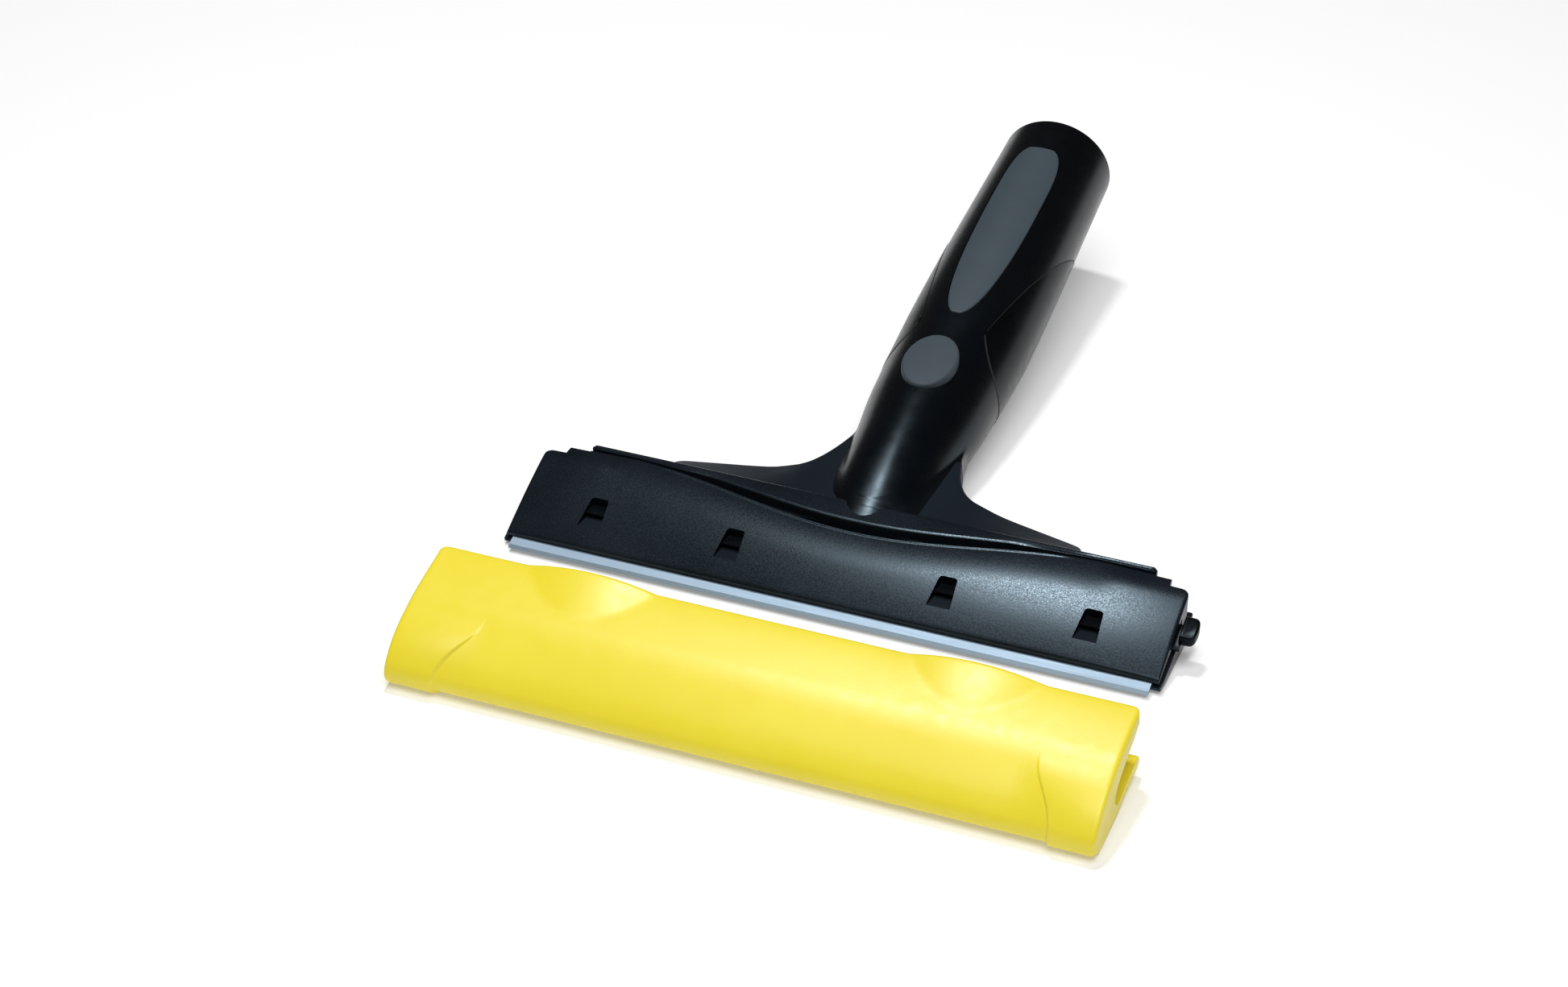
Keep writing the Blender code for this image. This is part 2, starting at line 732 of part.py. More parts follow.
def build_springs():
    upward = Vector((0.0, 0.0, 1.0))
    for side, word in ((-1, "left"), (1, "right")):
        coil("plate_spring_" + word, point(side * 38.0, 20.9, 2.5), upward, 6.2, 1.2, 0.5, 6)
    across_handle = Vector((0.0, -math.sin(HANDLE_TILT), math.cos(HANDLE_TILT)))
    length = ARM_LOW_N - GAP - SPRING_LOW_N
    coil("lock_spring", on_handle(SPRING_S, 0.0, SPRING_LOW_N), across_handle, length, 2.2, 0.6, 4)

    top, low = [], []
    for i in range(13):
        x = lerp(44.0, 62.0, i / 12)
        y = 19.35 + 1.45 * ((x - 53.0) / 9.0) ** 2
        top.append([point(x, y, 8.5), point(x, y, 7.0)])
        low.append([point(x, y + 0.3, 8.5), point(x, y + 0.3, 7.0)])
    bm = bmesh.new()
    shell(bm, top, low)
    make("detent_spring", bm, "spring_steel")


def build_hinge_pins():
    for side, word in ((-1, "left"), (1, "right")):
        bm = bmesh.new()
        cross_pin(bm, 0.8, side * 69.8, side * 75.8)
        make("hinge_pin_" + word, bm, "spring_steel", (side * 72.8, HINGE_Y, HINGE_Z))


def build_lock():
    bm = bmesh.new()
    rings = []
    for n, scale in ((BUTTON_BASE_N, 1.0), (14.7, 1.0), (15.3, 0.94), (15.8, 0.78), (16.1, 0.5)):
        rings.append(oval_ring(n, BUTTON_HALF_WIDTH * scale, BUTTON_HALF_LENGTH * scale))
    loft(bm, rings)
    make("lock_button", bm, "slate_rubber")

    bm = bmesh.new()
    half = YOKE_DEPTH / 2
    bored(bm, YOKE_OUTER, YOKE_S - half, YOKE_S + half, BUTTON_TRAVEL)
    yoke = make("lock_yoke", bm, "liner_plastic")
    bm = bmesh.new()
    bored(bm, YOKE_INNER, YOKE_S - half - 1, YOKE_S + half + 1, BUTTON_TRAVEL)
    cut(yoke, "yoke_bore_cut", bm)
    bm = bmesh.new()
    handle_block(bm, ARM_START, ARM_END, ARM_HALF_WIDTH, ARM_LOW_N, ARM_HIGH_N)
    add(yoke, "yoke_arm_form", bm)
    bm = bmesh.new()
    handle_block(bm, YOKE_S - half + 0.5, YOKE_S + half - 0.5, 2.5, 0.6 - YOKE_OUTER, 1.2 - NOSE_RADIUS)
    add(yoke, "yoke_tooth_form", bm)


def build_inlays():
    bm = bmesh.new()
    shell(bm, pad_grid(0.05, 0.0), pad_grid(-INLAY_DEPTH, 0.0))
    make("thumb_pad", bm, "slate_rubber")
    bm = bmesh.new()
    shell(bm, grip_grid(0.0, 0.0), grip_grid(-INLAY_DEPTH, 0.0))
    make("soft_grip", bm, "soft_black")


def build_sleeve():
    bm = bmesh.new()
    bored(bm, SLEEVE_OUTER, SOCKET_START + GAP, HANDLE_END - 0.5)
    sleeve = make("socket_sleeve", bm, "liner_plastic")
    bm = bmesh.new()
    bored(bm, SLEEVE_INNER, SOCKET_START - 2, HANDLE_END + 2)
    cut(sleeve, "sleeve_bore_cut", bm)


COVER_OUTLINE = (
    (-25.4, 17.4), (-26.2, 17.9), (-29.5, 17.4), (-33.0, 16.7), (-37.0, 15.8), (-40.7, 14.9), (-45.0, 13.2),
    (-49.0, 10.9), (-52.4, 8.3), (-54.8, 5.5), (-55.6, 3.4), (-55.0, 1.8), (-53.2, 0.8), (-50.5, 0.5),
    (-44.0, 0.5), (-35.5, 1.2), (-26.0, 2.1), (-24.9, 2.6), (-24.6, 3.7), (-25.0, 4.7), (-25.9, 5.1),
    (-33.0, 4.4), (-38.0, 3.5), (-40.6, 3.6), (-42.0, 4.9), (-42.1, 6.7), (-39.6, 9.2), (-33.3, 12.1),
    (-26.2, 13.4), (-25.2, 14.0),
)
COVER_FLARES = (-41.8, 45.2)   # centres of the two raised flares on the rear edge
FLARE_HALF = 15.2
FLARE_RISE = 1.9
FLARE_DEPTH = 12.0
COVER_STEP = 0.7               # how far the end zones stand proud


def smooth(t):
    t = min(1.0, max(0.0, t))
    return t * t * (3 - 2 * t)


def cover_raise(y, z):
    """How far the end zones stand proud: fully round the nose, fading out on the top and underneath."""
    if z > 9.5:
        return COVER_STEP * smooth((-42.5 - y) / 9)
    if y > -43.0:
        return COVER_STEP * smooth((-33.0 - y) / 9) if z < 1.3 else 0.0
    return COVER_STEP if z < 1.3 or y < -46 else 0.0


def cover_arc(side, y):
    """X of the curved step between the middle and one end zone."""
    t = smooth((-44.0 - y) / 12)
    return lerp(-59.0, -66.2, t) if side < 0 else lerp(64.6, 70.4, t)


def build_cover():
    """A U-shaped channel: round nose in front, a wedge slot open to the rear and at both ends."""
    count = len(COVER_OUTLINE)
    normals = []
    for j in range(count):
        before, after = COVER_OUTLINE[j - 1], COVER_OUTLINE[(j + 1) % count]
        dy, dz = after[0] - before[0], after[1] - before[1]
        size = math.hypot(dy, dz)
        normals.append((dz / size, -dy / size))
    left, right = COVER_CENTRE_X - COVER_HALF, COVER_CENTRE_X + COVER_HALF
    flare_steps = [FLARE_HALF * math.cos(math.pi * i / 10) for i in range(10, -1, -1)]
    first = [COVER_FLARES[0] + d for d in flare_steps]
    second = [COVER_FLARES[1] + d for d in flare_steps]
    stations = [(left, 0.5), (left + 0.4, 0.12), (left + 1.6, 0.0), ("left", 1), ("left", 0)]
    stations += [(x, 0.0) for x in first + [-12.0, 2.0, 16.0] + second]
    stations += [("right", 0), ("right", 1), (right - 1.6, 0.0), (right - 0.4, 0.12), (right, 0.5)]
    rings = []
    for place, inset in stations:
        ring = []
        for (y, z), (ny, nz) in zip(COVER_OUTLINE, normals):
            proud = cover_raise(y, z)
            back = 0.0
            if place == "left" or place == "right":
                side = -1 if place == "left" else 1
                x = cover_arc(side, y) + side * (0.25 if inset else -0.25)
                push = proud if inset else 0.0
            else:
                x = place
                push = (proud if x < -60 or x > 66 else 0.0) - inset
                back = 2.6 * inset if y > -26.5 else 0.0
            dz = 0.0
            if z > 15:
                for centre in COVER_FLARES:
                    reach = 1 - ((x - centre) / FLARE_HALF) ** 2
                    dz += FLARE_RISE * max(0.0, reach - (-25.4 - y) / FLARE_DEPTH)
            low = z + nz * push
            if z < 0.9 and push > 0:
                low = z - 0.5
            ring.append(point(x, y + ny * push - back, low + dz))
        rings.append(ring)
    bm = bmesh.new()
    loft(bm, rings)
    make("blade_cover", bm, "yellow_plastic")


clear_scene()
design_frame = bpy.data.objects.new("design_frame", None)
design_frame.location = point(0.0, -ORIGIN_Y, 0.0)
bpy.context.scene.collection.objects.link(design_frame)

build_handle_body()
build_clamp_plate()
build_release_slider()
build_blade()
build_blade_bed()
build_springs()
build_hinge_pins()
build_lock()
build_inlays()
build_sleeve()
build_cover()
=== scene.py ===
import math

import bmesh
import bpy
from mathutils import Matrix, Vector


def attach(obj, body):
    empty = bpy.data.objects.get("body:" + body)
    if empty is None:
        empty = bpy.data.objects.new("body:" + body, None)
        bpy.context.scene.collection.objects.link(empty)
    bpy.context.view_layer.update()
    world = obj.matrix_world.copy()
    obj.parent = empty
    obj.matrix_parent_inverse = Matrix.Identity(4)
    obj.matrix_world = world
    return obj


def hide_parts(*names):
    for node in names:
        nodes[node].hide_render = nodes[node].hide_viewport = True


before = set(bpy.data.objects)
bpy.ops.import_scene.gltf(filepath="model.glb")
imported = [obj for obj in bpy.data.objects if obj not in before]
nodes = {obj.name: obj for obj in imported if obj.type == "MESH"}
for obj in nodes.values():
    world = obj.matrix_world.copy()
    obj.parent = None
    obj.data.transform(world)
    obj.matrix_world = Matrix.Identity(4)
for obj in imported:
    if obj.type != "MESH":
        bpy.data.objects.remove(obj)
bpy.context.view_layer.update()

# Lengths are in millimetres: X along the blade, Y back from the cutting edge, Z up from the table.
# point() turns them into metres in the CAD's frame, whose origin is 14 mm behind the cutting edge.
ORIGIN_Y = 14.0
GAP = 0.3


def point(x, y, z):
    return Vector((x, y - ORIGIN_Y, z)) * 0.001


def lerp(a, b, t):
    return a + (b - a) * t


def smooth(t):
    t = min(1.0, max(0.0, t))
    return t * t * (3 - 2 * t)


def edge_round(distance, radius):
    """How far a rounded edge falls below its face at a distance in from the side."""
    if distance >= radius:
        return 0.0
    return radius - math.sqrt(max(0.0, radius ** 2 - (radius - distance) ** 2))


def curve_through(stations, s):
    """Smooth values at s through rows of (s, value, value, ...)."""
    last = len(stations) - 1
    i = 0
    while i < last - 1 and s > stations[i + 1][0]:
        i += 1
    p0, p1 = stations[max(0, i - 1)], stations[i]
    p2, p3 = stations[i + 1], stations[min(last, i + 2)]
    span = p2[0] - p1[0]
    t = min(1.0, max(0.0, (s - p1[0]) / span))
    out = []
    for k in range(1, len(p1)):
        m1 = (p2[k] - p0[k]) / max(0.001, p2[0] - p0[0]) * span
        m2 = (p3[k] - p1[k]) / max(0.001, p3[0] - p1[0]) * span
        out.append((2 * t ** 3 - 3 * t ** 2 + 1) * p1[k] + (t ** 3 - 2 * t ** 2 + t) * m1
                   + (3 * t ** 2 - 2 * t ** 3) * p2[k] + (t ** 3 - t ** 2) * m2)
    return out


# ---- mesh building ----
RIM_STRIPS = 3                 # strips along a sheet's long edges that can take another material; on the soft grip they carry a painted highlight


def loft(bm, rings, finish=None, cap=0):
    """Skin a list of equal rings; finish(row, i) gives the material slot of a face."""
    rows = [[bm.verts.new(p) for p in ring] for ring in rings]
    count = len(rows[0])
    for row, (first, second) in enumerate(zip(rows, rows[1:])):
        for i in range(count):
            j = (i + 1) % count
            face = bm.faces.new((first[i], first[j], second[j], second[i]))
            face.material_index = finish(row, i) if finish else 0
    bm.faces.new(list(reversed(rows[0]))).material_index = cap
    bm.faces.new(rows[-1]).material_index = cap


def shell(bm, outer, inner, rim=0):
    """Closed sheet between two grids of points; the strips along its long edges take the slot rim."""
    top = [[bm.verts.new(p) for p in row] for row in outer]
    low = [[bm.verts.new(p) for p in row] for row in inner]
    rows, columns = len(top), len(top[0])
    for i in range(rows - 1):
        for j in range(columns - 1):
            face = bm.faces.new((top[i][j], top[i + 1][j], top[i + 1][j + 1], top[i][j + 1]))
            face.material_index = 0 if RIM_STRIPS <= j < columns - 1 - RIM_STRIPS else rim
            bm.faces.new((low[i][j], low[i][j + 1], low[i + 1][j + 1], low[i + 1][j]))
    for i in range(rows - 1):
        bm.faces.new((top[i][0], low[i][0], low[i + 1][0], top[i + 1][0]))
        bm.faces.new((top[i][-1], top[i + 1][-1], low[i + 1][-1], low[i][-1]))
    for j in range(columns - 1):
        bm.faces.new((top[0][j], top[0][j + 1], low[0][j + 1], low[0][j]))
        bm.faces.new((top[-1][j], low[-1][j], low[-1][j + 1], top[-1][j + 1]))


def rounded(outline, radius, steps=4):
    """Round the corners of a closed outline; a corner may carry its own radius as a third value.

    A curve takes at most 45% of either side, and a corner under 0.02 mm stays sharp.
    """
    out = []
    count = len(outline)
    for i, corner in enumerate(outline):
        here = Vector(corner[:2])
        before = Vector(outline[i - 1][:2])
        after = Vector(outline[(i + 1) % count][:2])
        a, b = before - here, after - here
        reach = corner[2] if len(corner) > 2 else radius
        reach = min(reach, a.length * 0.45, b.length * 0.45)
        if reach < 0.02:
            out.append(tuple(here))
            continue
        start, end = here + a.normalized() * reach, here + b.normalized() * reach
        for k in range(steps + 1):
            t = k / steps
            p = start * (1 - t) ** 2 + here * 2 * t * (1 - t) + end * t ** 2
            out.append(tuple(p))
    return out


def outline_normals(outline):
    """Outward unit normal at each point of a closed outline."""
    out = []
    turn = 0.0
    count = len(outline)
    for j in range(count):
        (y0, z0), (y1, z1) = outline[j], outline[(j + 1) % count]
        turn += y0 * z1 - y1 * z0
    sign = 1.0 if turn > 0 else -1.0
    for j in range(count):
        before, after = outline[j - 1], outline[(j + 1) % count]
        dy, dz = after[0] - before[0], after[1] - before[1]
        size = math.hypot(dy, dz) or 1.0
        out.append((sign * dz / size, -sign * dy / size))
    return out


def bar(bm, outline, x_low, x_high, radius=0.3, steps=3):
    """Extrude a (y, z) outline along X and draw its ends in over a rounding radius."""
    ys = [p[0] for p in outline]
    zs = [p[1] for p in outline]
    centre_y, centre_z = (min(ys) + max(ys)) / 2, (min(zs) + max(zs)) / 2
    half_y, half_z = (max(ys) - min(ys)) / 2, (max(zs) - min(zs)) / 2
    rings = []
    for i in range(2 * steps + 2):
        k = min(i, 2 * steps + 1 - i)
        a = math.pi / 2 * k / steps
        along, inset = radius * (1 - math.cos(a)), radius * (1 - math.sin(a))
        x = x_low + along if i <= steps else x_high - along
        ky, kz = 1 - inset / half_y, 1 - inset / half_z
        rings.append([point(x, lerp(centre_y, y, ky), lerp(centre_z, z, kz)) for y, z in zip(ys, zs)])
    loft(bm, rings)


def make(name, bm, *materials):
    """Turn a bmesh into a scene object with the given material slots."""
    bmesh.ops.recalc_face_normals(bm, faces=bm.faces)
    mesh = bpy.data.meshes.new(name)
    bm.to_mesh(mesh)
    bm.free()
    item = bpy.data.objects.new(name, mesh)
    bpy.context.scene.collection.objects.link(item)
    for material in materials:
        mesh.materials.append(material)
    return item


def carve(item, steps):
    """Join or cut a list of bmesh forms in turn; each form's faces take the item's material slot given."""
    tools = []
    for operation, bm, slot in steps:
        if slot is not None:
            for face in bm.faces:
                face.material_index = slot
        tool = make("tool_%d" % len(tools), bm)
        tool.hide_viewport = True
        tools.append(tool)
        modifier = item.modifiers.new("carve", "BOOLEAN")
        modifier.operation = operation
        modifier.solver = "EXACT"
        modifier.object = tool
    bpy.context.view_layer.update()
    graph = bpy.context.evaluated_depsgraph_get()
    mesh = bpy.data.meshes.new_from_object(item.evaluated_get(graph))
    item.modifiers.clear()
    item.data = mesh
    for tool in tools:
        bpy.data.objects.remove(tool, do_unlink=True)


def finish_piece(item, body, *replaced, angle=34.0, slot=None):
    """Smooth a piece, keep its creases and finish borders sharp, and put it on its body."""
    item.data.shade_smooth()
    item.data.set_sharp_from_angle(angle=math.radians(angle))
    bm = bmesh.new()
    bm.from_mesh(item.data)
    for edge in bm.edges:
        if len({face.material_index for face in edge.link_faces}) > 1:
            edge.smooth = False
    bm.to_mesh(item.data)
    bm.free()
    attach(item, body)
    for node in replaced:
        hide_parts(node)
    return item


# ---- procedural materials ----
class Nodes:
    """Small helper that adds and joins shader nodes."""

    def __init__(self, name):
        self.material = bpy.data.materials.new(name)
        self.material.use_nodes = True
        self.tree = self.material.node_tree
        self.shader = self.tree.nodes["Principled BSDF"]
        self.place = self.add("ShaderNodeTexCoord").outputs["Object"]

    def add(self, kind, **settings):
        node = self.tree.nodes.new(kind)
        for key, value in settings.items():
            if key in node.inputs:
                node.inputs[key].default_value = value
            else:
                setattr(node, key, value)
        return node

    def link(self, a, b):
        self.tree.links.new(a, b)

    def noise(self, scale, detail=2.0, roughness=0.5, vector=None):
        node = self.add("ShaderNodeTexNoise", Scale=scale, Detail=detail, Roughness=roughness)
        self.link(vector or self.place, node.inputs["Vector"])
        return node.outputs["Fac"]

    def ramp(self, value, stops):
        node = self.add("ShaderNodeValToRGB")
        ramp = node.color_ramp
        for i, (position, colour) in enumerate(stops):
            element = ramp.elements[i] if i < 2 else ramp.elements.new(position)
            element.position = position
            element.color = (*colour, 1.0)
        self.link(value, node.inputs["Fac"])
        return node.outputs["Color"]

    def spread(self, value, low, high, to_low, to_high):
        node = self.add("ShaderNodeMapRange")
        for key, number in (("From Min", low), ("From Max", high), ("To Min", to_low), ("To Max", to_high)):
            node.inputs[key].default_value = number
        self.link(value, node.inputs["Value"])
        return node.outputs["Result"]

    def bump(self, height, distance, strength=1.0, under=None):
        node = self.add("ShaderNodeBump", Strength=strength, Distance=distance)
        self.link(height, node.inputs["Height"])
        if under:
            self.link(under, node.inputs["Normal"])
        return node.outputs["Normal"]

    def set(self, **values):
        for key, value in values.items():
            self.shader.inputs[key.replace("_", " ")].default_value = value


def moulded(name, dark, light, rough, grain, depth, specular=0.35, tint=(1.0, 1.0, 1.0), speckle=0.0):
    """Moulded plastic: slow colour change, a spark-eroded grain and slight handling marks."""
    m = Nodes(name)
    slow = m.noise(45.0, 3.0)
    m.link(m.ramp(slow, ((0.30, dark), (0.70, light))), m.shader.inputs["Base Color"])
    fine = m.noise(grain, 3.0, 0.6)
    mark = m.noise(260.0, 4.0, 0.55)
    if speckle:
        dots = m.noise(3000.0, 1.0)
        m.link(m.spread(dots, 0.35, 0.65, rough + speckle, rough - speckle), m.shader.inputs["Roughness"])
    else:
        m.link(m.spread(mark, 0.30, 0.70, rough - 0.035, rough + 0.035), m.shader.inputs["Roughness"])
    coarse = m.bump(mark, 0.00002, 0.25)
    m.link(m.bump(fine, depth, 1.0, coarse), m.shader.inputs["Normal"])
    # A tint other than white is a painted colour cast on the reflections, standing in for the light's colour.
    m.set(Specular_IOR_Level=specular, Specular_Tint=(*tint, 1.0))
    return m.material


def ground_steel(name, colour, rough):
    """Steel with fine grinding lines along X."""
    m = Nodes(name)
    stretch = m.add("ShaderNodeMapping")
    stretch.inputs["Scale"].default_value = (1.0, 60.0, 60.0)
    m.link(m.place, stretch.inputs["Vector"])
    lines = m.noise(90.0, 4.0, 0.6, stretch.outputs["Vector"])
    slow = m.noise(30.0, 2.0)
    shades = ((0.3, tuple(0.94 * c for c in colour)), (0.7, colour))
    m.link(m.ramp(slow, shades), m.shader.inputs["Base Color"])
    m.link(m.spread(lines, 0.3, 0.7, rough - 0.05, rough + 0.05), m.shader.inputs["Roughness"])
    m.link(m.bump(lines, 0.00001, 0.4), m.shader.inputs["Normal"])
    m.set(Metallic=1.0)
    return m.material


# Cool specular tint for the black plastics: a painted cool cast on their reflections, standing in for cool
# light.
COOL_LIGHT_TINT = (0.62, 0.84, 1.0)
plate_black = moulded("grained_black", (0.003, 0.005, 0.007), (0.008, 0.011, 0.016),
                      rough=0.25, grain=1700.0, depth=0.000008, specular=0.25, tint=COOL_LIGHT_TINT, speckle=0.05)
body_black = moulded("smooth_black", (0.001, 0.001, 0.0015), (0.0015, 0.002, 0.003),
                     rough=0.27, grain=2600.0, depth=0.000002, specular=0.26, tint=COOL_LIGHT_TINT)
satin_black = moulded("satin_black", (0.008, 0.011, 0.016), (0.011, 0.015, 0.021),
                      rough=0.50, grain=2600.0, depth=0.000008, specular=0.06, tint=COOL_LIGHT_TINT)
soft_black = moulded("soft_black", (0.001, 0.001, 0.001), (0.002, 0.002, 0.003),
                     rough=0.28, grain=3200.0, depth=0.000003, specular=0.14, tint=COOL_LIGHT_TINT)
# Lighter grey for the soft grip's border strips: a painted highlight for the light its raised edges catch.
painted_edge_highlight = moulded("painted_edge_highlight", (0.018, 0.020, 0.022), (0.026, 0.028, 0.031),
                    rough=0.45, grain=2600.0, depth=0.000008, specular=0.2)
slate = moulded("slate_soft", (0.043, 0.059, 0.073), (0.051, 0.069, 0.085),
                rough=0.55, grain=2800.0, depth=0.00001, specular=0.25)
liner = moulded("liner_grey", (0.030, 0.032, 0.035), (0.040, 0.042, 0.046),
                rough=0.50, grain=2400.0, depth=0.00001, specular=0.3)
yellow = moulded("grained_yellow", (0.89, 0.735, 0.030), (0.92, 0.775, 0.042),
                 rough=0.36, grain=1500.0, depth=0.00001, specular=0.6)
steel = ground_steel("ground_steel", (0.31, 0.40, 0.49), 0.55)
spring = ground_steel("spring_steel", (0.40, 0.41, 0.43), 0.35)

FINISH = {
    "handle_body": body_black, "soft_grip": soft_black, "thumb_pad": slate, "lock_button": slate,
    "socket_sleeve": liner, "lock_yoke": liner, "clamp_plate": plate_black, "release_slider": body_black,
    "blade": steel, "blade_cover": yellow, "hinge_pin_left": body_black, "hinge_pin_right": body_black,
}
for name, item in nodes.items():
    item.data.materials.clear()
    item.data.materials.append(FINISH.get(name, spring))

# ---- handle ----
TILT = math.radians(11.11)
AXIS_Z0 = -3.2                 # height of the handle's axis over the cutting edge
HANDLE_END = 172.0
HANDLE_RADIUS = 15
SOCKET_START, SOCKET_RADIUS = 97.3, 11.0
NOSE_START, NOSE_RADIUS = 84.0, 8.5
SLEEVE_OUTER, SLEEVE_INNER, SLEEVE_END = 10.7, 9.2, 171.5
YOKE_SLOT, YOKE_RADIUS = (87.9, 92.5), 10.4
YOKE_RAISED, YOKE_DROPPED = 1.4, 1.5
# distance along the axis, then radius up, sideways and down
HANDLE = (
    (28, 10.5, 11.2, 1.6), (34, 11.45, 11.9, 2.7), (38, 12.07, 12.1, 3.5),
    (42, 12.65, 12.2, 4.3), (46, 13.15, 12.35, 5.1), (50, 13.6, 12.6, 6.0), (54, 13.97, 12.9, 6.8),
    (60, 14.4, 13.4, 7.9), (70, 14.85, 14.4, 9.9), (80, 15.0, 14.85, 11.9),
    (90, 15.0, 15.1, 14.2), (100, 15.1, 15.3, 16.35), (110, 15.1, 15.3, 16.4), (120, 15.0, 15.2, 16.0),
    (135, 14.8, 14.9, 15.3), (150, 14.5, 14.5, 14.7), (163, 14.2, 14.2, 14.2), (172, 14.0, 14.0, 14.0),
)
WALL_REAR = 29.8
RIM_Z = 13.2
WEB_TIP_HALF = 53.0
WEB_START = 31.1
WEB_FILLET, WEB_CORNER = 1.6, 0.9
WEB_ROOT_TOP, WEB_ROOT_UNDER = 12.2, 0.8       # the web's heights where it leaves the rear wall
WEB_EDGE_TOP, WEB_EDGE_UNDER = 8.3, 5.2        # and along its rear edge


def handle_radii(s):
    drop = edge_round(HANDLE_END - s, 0.8)
    return [r - drop for r in curve_through(HANDLE, s)]


def on_handle(s, x, n):
    """Point at distance s along the handle's axis, x sideways and n above the axis."""
    y = s * math.cos(TILT) - n * math.sin(TILT)
    return point(x, y, AXIS_Z0 + s * math.sin(TILT) + n * math.cos(TILT))


def handle_skin(s, angle, offset=0.0):
    """Point on the round handle at an angle from its top."""
    up, side, down = handle_radii(s)
    vertical = up if math.cos(angle) >= 0 else down
    return on_handle(s, (side + offset) * math.sin(angle), (vertical + offset) * math.cos(angle))


def web_lift(x):
    """How far the web's rear edge rises where it runs into the neck."""
    return 3.7 * (1 - smooth((x - 15.0) / 14.0))


def web_rear(x):
    """Rear edge of the web: a straight sweep, a flare into the neck and a fall to the tip."""
    lift = web_lift(x)
    near = x - 0.477 * lift
    sweep = 49.5 - 0.25 * near + 8.0 * math.exp(-(near - 14.4) / 3.6) - 1.405 * lift
    return lerp(min(60.0, sweep), WALL_REAR + 0.5, smooth((x - 48.0) / (WEB_TIP_HALF - 48.0)) ** 0.8)


def web_heights(x, s):
    """Top and underside of the web in a section square to the handle's axis."""
    limits = []
    rear = web_rear(x)
    for root, edge in ((WEB_ROOT_TOP, WEB_EDGE_TOP + web_lift(x)), (WEB_ROOT_UNDER, WEB_EDGE_UNDER)):
        z = edge
        for _ in range(3):
            y = (s - (z - AXIS_Z0) * math.sin(TILT)) / math.cos(TILT)
            t = min(1.0, max(0.0, (y - WALL_REAR + 0.4) / (rear - WALL_REAR + 0.4)))
            z = lerp(root, edge, t)
        limits.append((z - AXIS_Z0) * math.cos(TILT) - y * math.sin(TILT))
    return limits


def web_half_width(s):
    """How far out the webs reach in the section at s, or zero before they start."""
    if s < WEB_START:
        return 0.0
    low, high = 8.0, WEB_TIP_HALF
    for _ in range(24):
        x = (low + high) / 2
        if web_rear(x) * math.cos(TILT) + (WEB_EDGE_TOP + web_lift(x) - AXIS_Z0) * math.sin(TILT) > s:
            low = x
        else:
            high = x
    return low


def body_gap(x, n, radii, half_width, s):
    """Distance-like value, negative inside the handle and its webs, blended by a fillet.

    The neck's top is a little squarer than an ellipse, and turns round towards the button.
    """
    up, side, down = radii
    size = math.hypot(x, n)
    if size < 0.001:
        return -side
    power = lerp(2.25, 2.0, smooth((s - 28) / 32)) if n > 0 else 2.0
    reach = (abs(x) / size / side) ** power + (abs(n) / size / (up if n >= 0 else down)) ** power
    neck = size - reach ** (-1 / power)
    if half_width < 9:
        return neck
    top, under = web_heights(min(x, half_width), s)
    across = x - half_width + WEB_CORNER
    along = abs(n - (top + under) / 2) - (top - under) / 2 + WEB_CORNER
    web = math.hypot(max(across, 0), max(along, 0)) + min(max(across, along), 0.0) - WEB_CORNER
    fillet = 0.1 + WEB_FILLET * smooth((s - WEB_START) / 6) * (1 - 0.7 * smooth((s - 42) / 10))
    blend = max(0.0, fillet - abs(neck - web)) / fillet
    return min(neck, web) - blend * blend * fillet / 4


def edge_between(gap, inside, outside, rounds=18):
    """Halve the way between a place inside and one outside until it lies on the edge."""
    for _ in range(rounds):
        middle = (inside + outside) / 2
        if gap(middle) < 0:
            inside = middle
        else:
            outside = middle
    return inside


NEAR_COLUMNS = 5               # columns between the neck's ray points and the foot of its fillet
RAY_MARGIN = 2.2               # how far above and below the web the ray points stop
FLANK_START, FLANK_BLEND = 58, 12              # behind here the rays close in on the middle of the flank


def body_ring(s, around, across):
    """Right half of a section, from the top round the web's edge to the bottom.

    Points lie on rays over the neck's top and bottom, and in columns over the web between them, so that each
    ring has the same number of points in the same order.
    """
    half_width = web_half_width(s)
    radii = handle_radii(s)
    up, side, down = radii
    top, under = web_heights(min(side, max(half_width, 13.0)), s)
    fade = smooth((s - FLANK_START) / FLANK_BLEND)
    top, under = lerp(top, 0.25 * up, fade), lerp(under, -0.25 * down, fade)
    first = math.acos(min(1.0, max(0.15, (top + RAY_MARGIN) / up)))
    last = math.pi - math.acos(min(0.97, max(0.15, (RAY_MARGIN - under) / down)))
    middle = (top + under) / 2
    junction = lerp(12.1, 12.7, (s - 33) / 18)

    def gap(x, n):
        return body_gap(x, n, radii, half_width, s)

    def along_ray(angle):
        sine, cosine = math.sin(angle), math.cos(angle)
        size = edge_between(lambda r: gap(r * sine, r * cosine), 0.0, max(up, down) + 1.5)
        return size * sine, size * cosine

    def columns(start):
        knee = min(max(junction, start + 0.02 * (tip - start)), lerp(start, tip, 0.6))
        near = [lerp(start, knee, i / NEAR_COLUMNS) for i in range(1, NEAR_COLUMNS + 1)]
        far = across - NEAR_COLUMNS
        return near + [lerp(knee, tip, smooth(i / far)) for i in range(1, far)]

    points = [along_ray(first * i / around) for i in range(around + 1)]
    tip = edge_between(lambda x: gap(x, middle), 0.0, WEB_TIP_HALF + 2)
    bottom = [along_ray(lerp(last, math.pi, i / around)) for i in range(around + 1)]
    for x in columns(points[around][0]):
        points.append((x, edge_between(lambda n: gap(x, n), middle, up + 2)))
    points.append((tip, middle))
    for x in reversed(columns(bottom[0][0])):
        points.append((x, edge_between(lambda n: gap(x, n), middle, -down - 2)))
    return points + bottom


